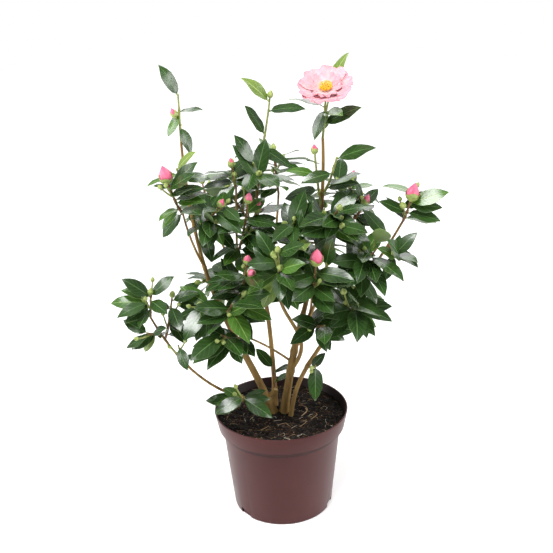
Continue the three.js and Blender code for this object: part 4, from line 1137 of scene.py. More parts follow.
def leaf_finishes(name, dark, light, rib, under, gloss):
    shiny = dict(Roughness=gloss, Specular_IOR_Level=0.5, Coat_Weight=0.14, Coat_Roughness=0.12)
    face = finish(name + "_face", dark, light, 26, relief=0.14, coarse=45, fine=150, depth=0.7, **shiny)
    return (
        add_veins(face, rib),
        finish(name + "_under", under, tuple(v + 22 for v in under), 30, relief=0.2, Roughness=0.5),
        finish(name + "_midrib", rib, tuple(v + 16 for v in rib), 40, Roughness=0.3),
    )


LEAF_FINISHES = {
    "mature": leaf_finishes("mature", (25, 47, 16), (48, 79, 29), (68, 102, 48), (88, 112, 62), 0.26),
    "fresh": leaf_finishes("fresh", (44, 82, 22), (74, 112, 38), (112, 142, 66), (120, 146, 80), 0.27),
    "young": leaf_finishes("young", (90, 116, 42), (118, 142, 62), (160, 176, 104), (142, 160, 94), 0.38),
}
NEW_LEAVES = {
    "foliage_mid_top": (0,), "foliage_flower": (5,), "foliage_left_upper": (0,), "foliage_centre_upper": (9,),
    "foliage_centre_front": (5,), "foliage_branch_lower": (1,),
}
FRESH_SHARE = 0.12


def age_of(mass, i, random):
    """How old the i-th leaf of a mass is, in the order in which they grew."""
    if i in NEW_LEAVES.get(mass["name"], ()):
        return "young"
    return "fresh" if random() < FRESH_SHARE else "mature"


# %% Laying the leaves
LEAF_SHAPE = dict(
    thick=0.5, stalk=1.6, fold=(0.12, 0.34), curl=(0.1, 0.3), twist=0.3, wave=0.035, calmest=0.3, waves=1.5,
    droop=0.4, droop_from=0.75,
)


def lay_leaf(leaf, random):
    """The pattern, folded, curled, waved and bent, in the place of one leaf of the rule."""
    x, y, z = leaf_pattern.points.T
    length, half = leaf["length"], 0.5 * LEAF["width"] * leaf["length"]
    fold, curl = (mix(*LEAF_SHAPE[key], random()) for key in ("fold", "curl"))
    phase, wave = TAU * random(), LEAF_SHAPE["wave"] * length * mix(LEAF_SHAPE["calmest"], 1, random())
    twist = LEAF_SHAPE["twist"] * (random() - 0.5)
    height = half * (fold * np.abs(x) - curl * x * x + twist * x * y)
    height += wave * x * np.sin(LEAF_SHAPE["waves"] * TAU * y + phase) - leaf["bend"] * y * y * length
    height -= LEAF_SHAPE["droop"] * length * np.clip(y - LEAF_SHAPE["droop_from"], 0, None) ** 2
    height += z * LEAF_SHAPE["thick"] * (1 + LEAF_SHAPE["stalk"] * (y < STALK))
    side = np.outer(x * half, leaf["side"])
    return leaf["root"] + np.outer(y * length, leaf["way"]) + side + np.outer(height, leaf["lift"])


random = random_from(211)
laid = {age: [] for age in LEAF_FINISHES}
for mass in masses.values():
    for i, leaf in enumerate(mass["leaves"]):
        laid[age_of(mass, i, random)].append(lay_leaf(leaf, random))
for age, placed in laid.items():
    keep_foliage(copies("leaves_" + age, leaf_pattern, placed, LEAF_FINISHES[age], smooth=60))

# %% [markdown]
# ## Bark
# The stems are tan, with fine lengthwise streaks and small swellings where a bough or a twig leaves them.
# Each is a rod bent along its path, a little rough all over, and all of them are joined to one mesh. The
# twigs of the masses are thinner and browner, and green towards their tips.

# %% Limbs
def ripple(seed, wavelength, waves=14, peak=1.5):
    """A smooth rough surface: many waves in seeded directions, from about -1 to 1."""
    random = random_from(seed)
    ways = np.array([[random() - 0.5 for _ in range(3)] for _ in range(waves)])
    ways *= TAU / wavelength / np.linalg.norm(ways, axis=1)[:, None]
    shifts = np.array([TAU * random() for _ in range(waves)])
    return lambda places: np.sin(places @ ways.T + shifts).sum(axis=1) * math.sqrt(2 / waves) / peak


def swollen(radius, length, joints, swell=0.22, reach=6):
    """A radius along a limb, with a swelling at each joint."""
    def fat(t):
        return radius(t) * (1 + sum(swell * math.exp(-(((t - at) * length / reach) ** 2)) for at in joints))

    return fat


BARK = finish("bark", (78, 58, 30), (170, 137, 80), 90, 0.3, (1, 1, 0.2), relief=1, coarse=170, fine=700,
              Roughness=0.85, Specular_IOR_Level=0.3)
TWIG_BARK = finish("twig_bark", (92, 60, 40), (140, 104, 62), 90, 0.3, (1, 1, 0.3), relief=0.4, Roughness=0.6)
GREEN_BARK = finish("green_bark", (104, 116, 50), (150, 152, 82), 60, 0.3, relief=0.3, Roughness=0.5)
CUT_WOOD = finish("cut_wood", (170, 138, 92), (206, 178, 128), 150, 0.3, relief=0.4, Roughness=0.8)
bark_lump, bark_grain = ripple(17, 26), ripple(19, 7)
RELIEF = dict(lump=0.05, grain=0.045, streak=0.3)
JOINTS_FROM, JOINTS_TO = 0.04, 0.98
IN_SOIL = 6


def bark_relief(places):
    streaked = places * (1, 1, RELIEF["streak"])
    return RELIEF["lump"] * bark_lump(places) + RELIEF["grain"] * bark_grain(streaked)


def joints_of(name):
    rows = [row for row in (*LIMBS.values(), *MASSES.values()) if row.get("on") == name]
    return [row["at"] for row in rows if JOINTS_FROM < row["at"] < JOINTS_TO]


placed = []
for name, limb in limbs.items():
    path, foot = limb["path"], -IN_SOIL / limb["path"].length if "foot" in limb["row"] else 0
    radius = swollen(limb["radius"], path.length, joints_of(name))
    placed.append(along_path(bough_rod, path, radius, foot, 1, bark_relief))
limbs_mesh = copies("stems_and_boughs", bough_rod, placed, [BARK, CUT_WOOD])
STUB = dict(on="stem_left", at=0.13, tip=(16, -3, 15), thick=(4.2, 3.6))


def add_stub():
    """The short stump of a pruned stem, with its cut face."""
    start = limbs[STUB["on"]]["path"].place(STUB["at"])
    path = Path(start, start + np.array(STUB["tip"], float), (2, 0, -1))
    stub = copies("stub", bough_rod, [along_path(bough_rod, path, taper(*STUB["thick"]), relief=bark_relief)],
                  [BARK, CUT_WOOD])
    way = Vector(path.heading(1))
    for face in stub.data.polygons:
        if face.normal.dot(way) > 0.9:
            face.material_index = 1
    return stub


keep(joined("stems_and_boughs", limbs_mesh, add_stub()), "bark", *limb_nodes)

# %% Twigs
TWIG_JOINT = dict(swell=0.35, reach=1.6)
placed = {"brown": [], "green": []}
for mass in masses.values():
    for twig in (mass["stem"], *mass["twigs"]):
        path = twig["path"]
        joints = [leaf["share"] for leaf in mass["leaves"] if leaf["twig"] is twig]
        radius = swollen(twig["radius"], path.length, joints, **TWIG_JOINT)
        kind = "brown" if twig is mass["stem"] and mass["row"]["tip"][2] < FINE["below"] else "green"
        placed[kind].append(along_path(twig_rod, path, radius))
keep_foliage(copies("twigs", twig_rod, placed["brown"], [TWIG_BARK]))
keep_foliage(copies("green_twigs", twig_rod, placed["green"], [GREEN_BARK]))

# %% [markdown]
# ## Buds
# A camellia bud is an egg of overlapping scales. A green one is all scales. As it swells, the pink petals
# push through the tip, and in the end the scales are only a cup at its foot. So each bud is a closed egg
# with a few blades wrapped round it in a spiral: petals above, scales below, as far up as the bud's kind
# says.

# %% Bud parts
SCALE_ROWS = [(0, 0.62), (0.3, 0.95), (0.58, 1), (0.84, 0.66), (1, 0.08)]
SCALE_COLUMNS = (-1, -0.35, 0.35, 1)
BUD_SHARES = (0, 0.05, 0.14, 0.28, 0.44, 0.6, 0.76, 0.9, 1)
BUD_FATNESS = (0.3, 0.52, 0.76, 0.95, 1, 0.87, 0.6, 0.3, 0.04)
SCALE = dict(wide=0.95, thick=0.45, lift=0.04, lift_from=0.4, lowest=0.45)
BUD_PETAL = dict(low=0.08, high=1, wide=1.15)
TUCKED, HEART = 0.05, (0.98, 0.86)
BUD_COVER = {
    "green": dict(scales=7, cover=1, petals=0),
    "tipped": dict(scales=6, cover=0.8, petals=3),
    "rose": dict(scales=6, cover=0.62, petals=4),
    "pink": dict(scales=6, cover=0.54, petals=5),
}


def fatness(share):
    return np.interp(share, BUD_SHARES, BUD_FATNESS)


def wrap_blade(pattern, root, way, bud, turn, low, high, wide, lift):
    """A blade wrapped round a bud, from one share of its height to another, with its tip lifted off."""
    side, over = across(way)
    x, y, z = pattern.points.T
    share, angle = mix(low, high, y), turn - x * wide
    flare = lift * (SCALE["lift_from"] + y) + SCALE["thick"] * z
    radius = bud["radius"] * fatness(np.clip(share, 0, 1)) + flare
    outward = np.outer(np.cos(angle), side) + np.outer(np.sin(angle), over)
    return root + np.outer(share * bud["length"], way) + outward * radius[:, None]


def model_egg():
    """The closed egg inside a bud, still a ball one high. `egg_at` draws it to a point."""
    bpy.ops.mesh.primitive_uv_sphere_add(segments=10, ring_count=7, radius=0.5, location=(0, 0, 0))
    obj = bpy.context.object
    bpy.ops.object.mode_set(mode="EDIT")
    bpy.ops.transform.translate(value=(0, 0, 0.5))
    bpy.ops.object.mode_set(mode="OBJECT")
    obj.data.update()
    return Pattern(obj)


def egg_at(pattern, root, way, length, radius):
    """An egg of a given length and radius, with its foot at the root."""
    side, over = across(way)
    x, y, z = pattern.points.T
    angle = np.arctan2(y, x)
    around = np.hypot(x, y) > 1e-4
    out = np.outer(np.cos(angle), side) - np.outer(np.sin(angle), over)
    return root + np.outer(z * length, way) + out * (radius * fatness(z) * around)[:, None]


scale_pattern, egg_pattern = Pattern(sheet("scale", SCALE_ROWS, SCALE_COLUMNS)), model_egg()
SCALE_FACE = finish("bud_scale", (112, 138, 58), (184, 192, 118), 160, 0.3, relief=0.3, Roughness=0.42)
PINK = finish("bud_petal", (224, 72, 112), (248, 136, 164), 90, 0.3, relief=0.3, coarse=120, Roughness=0.45,
              Subsurface_Weight=0.15, Subsurface_Scale=0.003)

# %% Dressing the buds
random = random_from(307)
scales, eggs, petals, cores = [], [], [], []
for mass in masses.values():
    for entry in mass["buds"]:
        size = entry.get("size", 1)
        bud = {key: value * size for key, value in BUDS[entry["kind"]].items()}
        look, root, way = BUD_COVER[entry["kind"]], entry["root"], entry["way"]
        egg = egg_at(egg_pattern, root, way, bud["length"] * HEART[0], bud["radius"] * HEART[1])
        (cores if look["petals"] else eggs).append(egg)
        first = TAU * random()
        for i in range(look["petals"]):
            turn, lift = first + i * GROWTH["spiral"] * DEGREE, -TUCKED * bud["radius"]
            petals.append(wrap_blade(scale_pattern, root, way, bud, turn, **BUD_PETAL, lift=lift))
        for i in range(look["scales"]):
            top = look["cover"] * mix(1, SCALE["lowest"], i / look["scales"])
            turn = first + 1 + i * GROWTH["spiral"] * DEGREE
            lift = SCALE["lift"] * bud["radius"] * (1 + i / 3)
            scales.append(wrap_blade(scale_pattern, root, way, bud, turn, 0, top, SCALE["wide"], lift))
scales_mesh = copies("bud_scales", scale_pattern, scales, [SCALE_FACE] * 3)
keep_foliage(joined("bud_scales", scales_mesh, copies("bud_hearts", egg_pattern, eggs, [SCALE_FACE])))
petals_mesh = copies("bud_petals", scale_pattern, petals, [PINK] * 3)
keep_foliage(joined("bud_petals", petals_mesh, copies("bud_cores", egg_pattern, cores, [PINK])))

# %% [markdown]
# In the angle over each leaf sits a small resting bud, a green egg about four millimetres long.

# %% Resting buds
RESTING = dict(length=(3.2, 5.4), radius=1.1, towards_leaf=0.7, out=0.5)
random = random_from(401)
resting = []
for leaf in leaves:
    path, share = leaf["twig"]["path"], leaf["share"]
    way = unit(path.heading(share) + leaf["way"] * RESTING["towards_leaf"])
    root = path.place(share) + way * leaf["twig"]["radius"](share) * RESTING["out"]
    resting.append(egg_at(egg_pattern, root, way, mix(*RESTING["length"], random()), RESTING["radius"]))
keep_foliage(copies("resting_buds", egg_pattern, resting, [SCALE_FACE]))

# %% [markdown]
# ## The open flower
# Nine broad petals overlap round a shallow bowl, with six smaller, more upright ones inside. Their rims
# are ruffled and notched, and they are pale at the heart and deeper pink at the edge. In the middle
# stands a tuft of pale threads, each with a golden anther.

# %% Petals
PETAL_ROWS = [
    (0, 0.2), (0.1, 0.34), (0.24, 0.56), (0.4, 0.78), (0.56, 0.94), (0.7, 1), (0.82, 0.98), (0.92, 0.84),
    (1, 0.56),
]
PETAL_COLUMNS = (-1, -0.75, -0.5, -0.25, 0, 0.25, 0.5, 0.75, 1)
PETAL = dict(
    half=17.5, thick=0.5, notch=0.09, notch_half=0.16, notch_from=0.8, curl=3, level=0.3, layer=1.3, wave=2.2,
    waves=4.4, droop=17.6, droop_from=0.85, play=0.1, sizes=(0.94, 1),
)
INNER = dict(count=6, size=0.62, cup=1.9, layers=3.2, play=0.3, sizes=(0.85, 1.1))
RIM_TINT, RIM_FROM = (0.97, 0.68, 0.76, 1), 0.45


def petal_finish():
    """Pale pink, with a deeper rim: the piece's own UV runs from the heart, 0, to the rim, 1."""
    material = finish("petal", (218, 156, 167), (228, 192, 195), 45, 0.2, relief=0.25, coarse=90, depth=0.4,
                      Roughness=0.5, Subsurface_Weight=0.2, Subsurface_Scale=0.004)
    tree = material.node_tree
    shader, place = tree.nodes["Principled BSDF"], tree.nodes["Texture Coordinate"]
    split, ramp = add_node(tree, "SeparateXYZ"), add_node(tree, "ValToRGB")
    tint = add_node(tree, "Mix", {"Factor": 1}, data_type="RGBA", blend_type="MULTIPLY")
    heart, rim = ramp.color_ramp.elements
    heart.position, heart.color, rim.color = RIM_FROM, (1, 1, 1, 1), RIM_TINT
    join(
        tree,
        (place.outputs["UV"], split.inputs[0]),
        (split.outputs["Y"], ramp.inputs["Fac"]),
        (shader.inputs["Base Color"].links[0].from_socket, tint.inputs["A"]),
        (ramp.outputs["Color"], tint.inputs["B"]),
        (tint.outputs["Result"], shader.inputs["Base Color"]),
    )
    return material


flower = masses["foliage_flower"]["flower"]
flower_side, flower_over = across(flower["way"])


def lay_petal(pattern, turn, layer, size, cup, random):
    """A petal of the bowl, ruffled at its rim. `cup` is how upright it is."""
    x, y, z = pattern.points.T
    dip = np.clip((y - PETAL["notch_from"]) / (1 - PETAL["notch_from"]), 0, 1)
    notch = PETAL["notch"] * np.exp(-((x / PETAL["notch_half"]) ** 2)) * dip
    out = (y - notch) * FLOWER["radius"] * size
    phase = TAU * random()
    height = cup * FLOWER["depth"] * (y * size) ** 2 + layer
    ruffle = PETAL["wave"] * y**3 * np.sin(PETAL["waves"] * x + phase)
    height += ruffle + PETAL["curl"] * y * (x * x - PETAL["level"])
    height -= PETAL["droop"] * np.clip(y - PETAL["droop_from"], 0, None) * random()
    height += z * PETAL["thick"]
    outward = flower_side * math.cos(turn) + flower_over * math.sin(turn)
    wide = np.outer(x * PETAL["half"] * size, np.cross(outward, flower["way"]))
    return flower["root"] + np.outer(out, outward) + wide + np.outer(height, flower["way"])


random = random_from(503)
petal_pattern = Pattern(sheet("petal", PETAL_ROWS, PETAL_COLUMNS))
placed = []
for i in range(FLOWER["petals"]):
    turn, layer = TAU * i / FLOWER["petals"] + PETAL["play"] * (random() - 0.5), PETAL["layer"] * (1 + i % 2)
    placed.append(lay_petal(petal_pattern, turn, layer, mix(*PETAL["sizes"], random()), 1, random))
for i in range(INNER["count"]):
    turn, layer = TAU * i / INNER["count"] + INNER["play"] * random(), PETAL["layer"] * INNER["layers"]
    size = INNER["size"] * mix(*INNER["sizes"], random())
    placed.append(lay_petal(petal_pattern, turn, layer, size, INNER["cup"], random))
keep_foliage(copies("flower_petals", petal_pattern, placed, [petal_finish()] * 3, smooth=80))

# %% Stamens and calyx
STAMEN = dict(
    count=90, length=(9, 14), spread=0.62, radius=0.28, foot=2, rise=0.5, shorter=0.2, bow=-1.2,
    anther=(2.2, 0.85),
)
THREAD = finish("stamen_thread", (250, 216, 90), (255, 236, 140), 80, Roughness=0.5)
ANTHER = finish("anther", (240, 172, 8), (255, 208, 36), 300, 0.3, Roughness=0.6)
threads, anthers = [], []
for i in range(STAMEN["count"]):
    turn, out = i * GROWTH["spiral"] * DEGREE, math.sqrt((i + 0.5) / STAMEN["count"])
    outward = flower_side * math.cos(turn) + flower_over * math.sin(turn)
    way = unit(flower["way"] + outward * STAMEN["spread"] * out)
    start = flower["root"] + outward * STAMEN["foot"] * (1 + out) + flower["way"] * STAMEN["rise"]
    length = mix(*STAMEN["length"], random()) * (1 - STAMEN["shorter"] * out)
    path = Path(start, start + way * length, outward * STAMEN["bow"])
    threads.append(along_path(twig_rod, path, taper(STAMEN["radius"], STAMEN["radius"])))
    anthers.append(egg_at(egg_pattern, path.place(1), path.heading(1), *STAMEN["anther"]))
keep_foliage(copies("stamen_threads", twig_rod, threads, [THREAD]))
keep_foliage(copies("anthers", egg_pattern, anthers, [ANTHER]))

CALYX = dict(scales=7, length=12, radius=9, below=3.5)
CALYX_SCALE = dict(low=0, high=0.42, wide=0.9, lift=0.6)
calyx_root = flower["root"] - flower["way"] * CALYX["below"]
calyx = []
for i in range(CALYX["scales"]):
    turn = i * GROWTH["spiral"] * DEGREE
    calyx.append(wrap_blade(scale_pattern, calyx_root, flower["way"], CALYX, turn, **CALYX_SCALE))
keep_foliage(copies("flower_calyx", scale_pattern, calyx, [SCALE_FACE] * 3))

# %% [markdown]
# ## The pot
# A blown nursery pot is one thin wall: a foot with a rounded corner, a tapered side, a step out to the
# rim band and a rounded lip, then the same line back down inside. It is drawn ring by ring: a circle is
# extruded and widened again and again, closed at both ends, and its corners are rounded by a Bevel
# modifier. Three drainage notches are cut at the foot by Booleans, each with a small slot at its corner
# that opens into the soil.

# %% Turning the pot
POT_SIDES = 160
STEP_POINTS = 6
PLINTH = dict(radius=78.5, height=14)
INNER_RISE = 0.4
FOOT_ANGLES, LIP_ANGLES = (0, 30, 60, 90), (0, 45, 90, 135, 180)


def pot_line():
    """The wall from the foot, up the outside, over the lip and down inside, as (radius, height)."""
    base, corner, wall, lip = POT["base"], POT["corner"], POT["wall"], POT["wall"] / 2
    band_foot, lip_middle = POT["height"] - POT["band_height"], (POT["rim"] - lip, POT["height"] - lip)
    foot, rim = [], []
    for angle in FOOT_ANGLES:
        foot.append((base - corner * (1 - math.sin(angle * DEGREE)), corner * (1 - math.cos(angle * DEGREE))))
    for angle in LIP_ANGLES:
        out, up = lip * math.cos(angle * DEGREE), lip * math.sin(angle * DEGREE)
        rim.append((lip_middle[0] + out, lip_middle[1] + up))
    shares = [i / STEP_POINTS for i in range(STEP_POINTS + 1)]
    outside = [(mix(POT["shoulder"], POT["band"], t), band_foot - POT["step"] * (1 - t)) for t in shares]
    inside = [(r - wall, z + wall * INNER_RISE) for r, z in reversed(outside)]
    share = PLINTH["height"] / inside[-1][1]
    ledge = (mix(base - wall, inside[-1][0], share), PLINTH["height"] + 1)
    plinth = [(PLINTH["radius"], PLINTH["height"]), (PLINTH["radius"], wall)]
    return [*foot, *outside, *rim, *inside, ledge, *plinth]


def turn_rings(name, line, sides):
    """Draws a turned shape: the first circle is extruded through each (radius, height) of the line."""
    radius, height = line[0]
    bpy.ops.mesh.primitive_circle_add(vertices=sides, radius=radius * MM, location=(0, 0, 0))
    obj = bpy.context.object
    obj.name = name
    bpy.ops.object.mode_set(mode="EDIT")
    bpy.ops.transform.translate(value=(0, 0, height * MM))
    for wide, high in line[1:]:
        bpy.ops.mesh.extrude_region_move(TRANSFORM_OT_translate={"value": (0, 0, (high - height) * MM)})
        bpy.ops.transform.resize(value=(wide / radius, wide / radius, 1), center_override=(0, 0, high * MM))
        radius, height = wide, high
    bpy.ops.object.mode_set(mode="OBJECT")
    for wide, high in (line[0], line[-1]):
        choose(obj, "VERT", lambda p: abs(p.z - high * MM) < 1e-5 and abs(p.xy.length - wide * MM) < 1e-5)
        bpy.ops.mesh.edge_face_add()
        bpy.ops.object.mode_set(mode="OBJECT")
    choose(obj, "FACE", lambda face: True)
    bpy.ops.mesh.normals_make_consistent(inside=False)
    bpy.ops.object.mode_set(mode="OBJECT")
    return obj


def round_corners(obj, width, angle):
    """Rounds every edge sharper than an angle in degrees, to a width in millimetres."""
    bevel = obj.modifiers.new("round corners", "BEVEL")
    bevel.width, bevel.segments = width * MM, 2
    bevel.limit_method, bevel.angle_limit = "ANGLE", math.radians(angle)
    apply_modifiers(obj)


pot = turn_rings("nursery_pot", pot_line(), POT_SIDES)
round_corners(pot, width=0.9, angle=18)
print("pot:", len(pot.data.polygons), "faces, box", [round(v / MM) for v in pot.dimensions])

# %% Drainage notches
DRAIN = dict(count=3, first=-50, width=24, height=11, reach=81)
SLOT = dict(width=5, height=4, depth=4)


def cut_box(obj, angle, near, far, left, right, low, high):
    """Takes a box out of the pot: from one radius to another, at `angle` degrees from the front."""
    size = (right - left, far - near, high - low)
    middle = ((left + right) / 2, -(near + far) / 2, (low + high) / 2)
    bpy.ops.mesh.primitive_cube_add(size=1, location=(0, 0, 0))
    cutter = bpy.context.object
    bpy.ops.object.mode_set(mode="EDIT")
    bpy.ops.transform.resize(value=[v * MM for v in size], center_override=(0, 0, 0))
    bpy.ops.transform.translate(value=[v * MM for v in middle])
    bpy.ops.object.mode_set(mode="OBJECT")
    cutter.rotation_euler = (0, 0, angle * DEGREE)
    bpy.ops.object.transform_apply(location=False, rotation=True, scale=False)
    cut = obj.modifiers.new("cut", "BOOLEAN")
    cut.operation, cut.object, cut.solver = "DIFFERENCE", cutter, "EXACT"
    apply_modifiers(obj)
    bpy.data.objects.remove(cutter)


for i in range(DRAIN["count"]):
    angle, half = DRAIN["first"] + 360 * i / DRAIN["count"], DRAIN["width"] / 2
    cut_box(pot, angle, DRAIN["reach"], POT["rim"], -half, half, -1, DRAIN["height"])
    top, near, right = DRAIN["height"] - 1, PLINTH["radius"] - SLOT["depth"], SLOT["width"] - half
    cut_box(pot, angle, near, POT["rim"], -half, right, top - SLOT["height"], top)
print("pot:", len(pot.data.polygons), "faces after", DRAIN["count"], "notches")

# %% Plastic
PLASTIC = finish(
    "pot_plastic", (67, 33, 32), (77, 39, 38), 9, 0.2, relief=0.12, coarse=14, fine=500, depth=0.4,
    Roughness=0.36, Specular_IOR_Level=0.14, Sheen_Weight=0.16, Sheen_Roughness=0.35,
)
# The step under the band is painted darker than the outside: painted shade.
STEP_PAINTED_SHADE = finish(
    "pot_step_painted_shade", (46, 23, 22), (54, 28, 27), 9, 0.2, relief=0.12, Roughness=0.5, Specular_IOR_Level=0.1,
)
# The inside is painted darker than the outside: painted shade in the pot's hollow, with some soil dirt.
INSIDE_SHADE_AND_DIRT = finish(
    "pot_inside_shade_and_dirt", (26, 10, 13), (40, 18, 21), 14, 0.2, relief=0.2, Roughness=0.5, Specular_IOR_Level=0.3,
)


def finish_pot():
    """The outside, the inside and the step under the band have a slot each. The inside is painted darker,
    as painted shade with some soil dirt, and the step under the band darker still, as painted shade.
    """
    for material in (PLASTIC, INSIDE_SHADE_AND_DIRT, STEP_PAINTED_SHADE):
        pot.data.materials.append(material)
    band_foot = POT["height"] - POT["band_height"]
    for face in pot.data.polygons:
        outward = Vector((face.center.x, face.center.y, 0)).normalized()
        height, up = face.center.z, face.normal.z
        # Inner faces take the darker slot: painted shade with some soil dirt.
        inner = face.normal.dot(outward) < -0.3 or height > 1.5 * MM and up > 0.9
        # The downward faces of the step take the darkest slot: painted shade.
        painted_shade_under_band = up < -0.3 and abs(height / MM - band_foot) < POT["step"] + 2
        face.material_index = 1 if inner and height < (POT["height"] - 2) * MM else 2 if painted_shade_under_band else 0
    smooth_over(pot, 28)


finish_pot()
keep(pot, "pot", "pot")

# %% [markdown]
# ## The soil
# Peat compost is a dark, uneven crumb with pale fibres, red-brown bits of bark and a few dry roots. The
# bed is a circle, inset ring by ring, whose points are lifted by a seeded function. Crumbs, bark and
# fibres are strewn on it by the same function, so that each lies on the surface.

# %% The bed
SOIL_WAVES = ((1.3, ripple(601, 46)), (1.1, ripple(607, 13)), (0.5, ripple(613, 5)))
MOUND = dict(reach=17, rise=2.2, most=1.2)
BED = dict(gap=0.5, sunk=0.5, sides=180, rings=34, ring=3)
STEM_FEET = [np.array(row["foot"], float) for row in LIMBS.values() if "foot" in row]


def soil_height(places):
    """The height of the soil, in millimetres, at places seen from above."""
    flat = np.c_[places[:, :2], np.zeros(len(places))]
    far = [np.linalg.norm(flat[:, :2] - foot, axis=1) for foot in STEM_FEET]
    mound = sum(np.exp(-((distance / MOUND["reach"]) ** 2)) for distance in far)
    lumps = sum(high * wave(flat) for high, wave in SOIL_WAVES)
    return SOIL_LEVEL - BED["sunk"] + MOUND["rise"] * np.clip(mound, 0, MOUND["most"]) + lumps


def soil_line():
    """Down the inside of the pot from the edge of the bed, as (radius, height)."""
    wall = POT["wall"] + BED["gap"]
    band_foot = POT["height"] - POT["band_height"]
    share = (SOIL_LEVEL - band_foot) / POT["band_height"]
    edge = mix(POT["band"], POT["rim"], share) - wall
    radius, height = PLINTH["radius"], PLINTH["height"]
    upper = [(edge, SOIL_LEVEL), (POT["band"] - wall, band_foot + 2)]
    lower = [(radius + 4, height + 6), (radius - 1, height - 1), (radius - 1, POT["wall"] + 0.4)]
    return [*upper, (POT["shoulder"] - wall, band_foot - POT["step"]), *lower]


def model_bed():
    """The soil down to the floor of the pot, with its top inset ring by ring and lifted."""
    obj = turn_rings("soil_bed", list(reversed(soil_line())), BED["sides"])
    choose(obj, "FACE", lambda face: face.center.z > (SOIL_LEVEL - 1) * MM)
    for _ in range(BED["rings"]):
        bpy.ops.mesh.inset(thickness=BED["ring"] * MM)
    bpy.ops.object.mode_set(mode="OBJECT")
    places = read(obj.data.vertices, "co", 3).astype(float) / MM
    top = places[:, 2] > SOIL_LEVEL - 1
    places[top, 2] = soil_height(places[top])
    obj.data.vertices.foreach_set("co", (places * MM).astype(np.float32).ravel())
    obj.data.update()
    return obj


COMPOST = finish(
    "compost", (7, 5, 4), (26, 19, 14), 190, relief=1, coarse=200, fine=900, depth=1.2, Roughness=0.95,
    Specular_IOR_Level=0.2,
)
bed = model_bed()
bed.data.materials.append(COMPOST)
smooth_over(bed, 50)
keep(bed, "soil", "soil")

# %% Crumbs, bark and fibres
STREWN = {
    "crumbs_dark": dict(count=1500, size=(0.8, 2.6), colours=((10, 7, 5), (34, 24, 18))),
    "crumbs_red": dict(count=520, size=(0.7, 1.9), colours=((58, 32, 20), (104, 64, 40))),
    "crumbs_tan": dict(count=120, size=(0.6, 1.5), colours=((104, 78, 50), (150, 122, 86))),
}
FIBRES = {
    "fibres_tan": dict(count=130, length=(5, 15), radius=0.25, colours=((140, 108, 70), (196, 166, 120))),
    "fibres_dark": dict(count=190, length=(5, 17), radius=0.35, colours=((60, 40, 28), (108, 74, 48))),
    "fibres_pale": dict(count=60, length=(4, 14), radius=0.32, colours=((196, 186, 164), (226, 218, 200))),
}
CLEAR_OF_STEMS = 9
CRUMB = dict(wide=(0.5, 1), high=(0.35, 0.8), tilt=0.8, raised=0.15)


def somewhere(random, edge):
    """A point of the bed, clear of the stems."""
    while True:
        out, turn = edge * math.sqrt(random()), TAU * random()
        point = np.array((out * math.cos(turn), out * math.sin(turn)))
        if min(np.linalg.norm(point - foot) for foot in STEM_FEET) > CLEAR_OF_STEMS:
            return point


def model_crumb():
    """A ball with one side pulled out and its underside pressed flat."""
    bpy.ops.mesh.primitive_ico_sphere_add(subdivisions=1, radius=1)
    obj = bpy.context.object
    choose(obj, "VERT", lambda p: p.x > 0.2)
    bpy.ops.transform.translate(value=(0.35, 0, 0.1))
    choose(obj, "VERT", lambda p: p.z < -0.2)
    bpy.ops.transform.resize(value=(1, 1.25, 0.7), center_override=(0, 0, -0.5))
    bpy.ops.object.mode_set(mode="OBJECT")
    return Pattern(obj)


def turned(points, random):
    """The points, turned at random about two axes."""
    a, b = TAU * random(), CRUMB["tilt"] * (random() - 0.5)
    flat = np.array([[math.cos(a), -math.sin(a), 0], [math.sin(a), math.cos(a), 0], [0, 0, 1]])
    tilt = np.array([[1, 0, 0], [0, math.cos(b), -math.sin(b)], [0, math.sin(b), math.cos(b)]])
    return points @ (flat @ tilt).T


random = random_from(701)
edge = soil_line()[0][0] - 3
crumb = model_crumb()
for name, kind in STREWN.items():
    placed = []
    for _ in range(kind["count"]):
        point, size = somewhere(random, edge), mix(*kind["size"], random() ** 2)
        sizes = (size, size * mix(*CRUMB["wide"], random()), size * mix(*CRUMB["high"], random()))
        height = soil_height(point[None])[0] + CRUMB["raised"] * size
        placed.append(turned(crumb.points * sizes, random) + (*point, height))
    colour = finish(name, *kind["colours"], 140, 0.3, relief=0.5, coarse=300, fine=900, Roughness=0.9)
    keep(copies(name, crumb, placed, [colour]), "soil")

fibre_rod = rod("fibre_rod", 4, 6)
FIBRE = dict(aside=0.4, arch=0.12, thin=0.5)


def lay_fibre(point, length, radius, random):
    """A fibre that follows the soil, arched off it a little in the middle."""
    turn = TAU * random()
    step = np.array((math.cos(turn), math.sin(turn))) * length / 2
    ends = np.array([point - step, point + step])
    reach = np.linalg.norm(ends, axis=1)
    ends *= np.minimum(1, edge / reach)[:, None]
    heights = soil_height(ends) + radius
    aside = [length * FIBRE["aside"] * (random() - 0.5) for _ in range(2)]
    bow = (*aside, length * FIBRE["arch"] * random())
    path = Path((*ends[0], heights[0]), (*ends[1], heights[1]), bow)
    return along_path(fibre_rod, path, taper(radius, radius * FIBRE["thin"]))


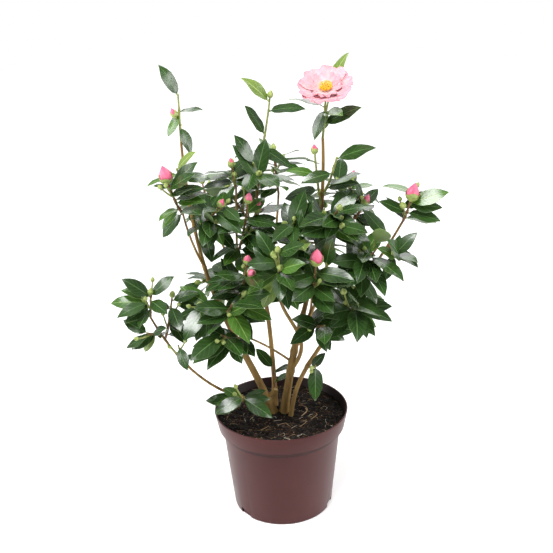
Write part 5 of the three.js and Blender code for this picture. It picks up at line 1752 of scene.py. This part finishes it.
for name, kind in FIBRES.items():
    placed = []
    for _ in range(kind["count"]):
        point, length = somewhere(random, edge), mix(*kind["length"], random())
        placed.append(lay_fibre(point, length, kind["radius"], random))
    colour = finish(name, *kind["colours"], 90, 0.3, Roughness=0.85)
    keep(copies(name, fibre_rod, placed, [colour]), "soil")

# %% Dry roots
ROOT = dict(raised=0.4, bow=(4, 2, 5), sway=3, thin=0.45)
ROOTS = [
    ((34, -12), (44, 16), 0.8), ((42, 4), (30, 26), 0.7), ((50, -20), (62, -4), 0.5),
    ((-8, -38), (16, -46), 0.45), ((30, -44), (44, -30), 0.4), ((-34, -52), (-18, -44), 0.45),
]


def lay_root(start, end, radius):
    """A root from one point of the bed to another, arched a little off it."""
    ends = np.array((start, end), float)
    heights = soil_height(ends) + radius * ROOT["raised"]
    path = Path((*ends[0], heights[0]), (*ends[1], heights[1]), ROOT["bow"], sway=ROOT["sway"])
    return along_path(twig_rod, path, taper(radius, radius * ROOT["thin"]))


ROOT_SKIN = finish("dry_root", (150, 118, 84), (204, 176, 138), 120, 0.3, relief=0.4, Roughness=0.8)
keep(copies("dry_roots", twig_rod, [lay_root(*root) for root in ROOTS], [ROOT_SKIN]), "soil")

# %% [markdown]
# ## The floor
# One wide plain sheet, which isn't part of the plant.

# %% Floor
GLOW = (0.5, 3.5, 0.28, 1)


def glow_outward(material):
    """The sheet glows a little, and more with the distance from the plant, so that it ends in plain white."""
    tree = material.node_tree
    length = add_node(tree, "VectorMath", operation="LENGTH")
    ramp = add_node(tree, "MapRange", dict(zip(RANGE, GLOW)))
    join(
        tree,
        (tree.nodes["Texture Coordinate"].outputs["Object"], length.inputs[0]),
        (length.outputs["Value"], ramp.inputs["Value"]),
        (ramp.outputs["Result"], tree.nodes["Principled BSDF"].inputs["Emission Color"]),
    )
    return material


def add_floor(size=12):
    bpy.ops.mesh.primitive_plane_add(size=size, location=(0, 0, 0))
    floor = bpy.context.object
    floor.name = "floor"
    paint = finish("studio_floor", (250, 250, 250), (253, 253, 253), 2, relief=0.02, Roughness=0.8,
                   Emission_Strength=1)
    floor.data.materials.append(glow_outward(paint))


add_floor()
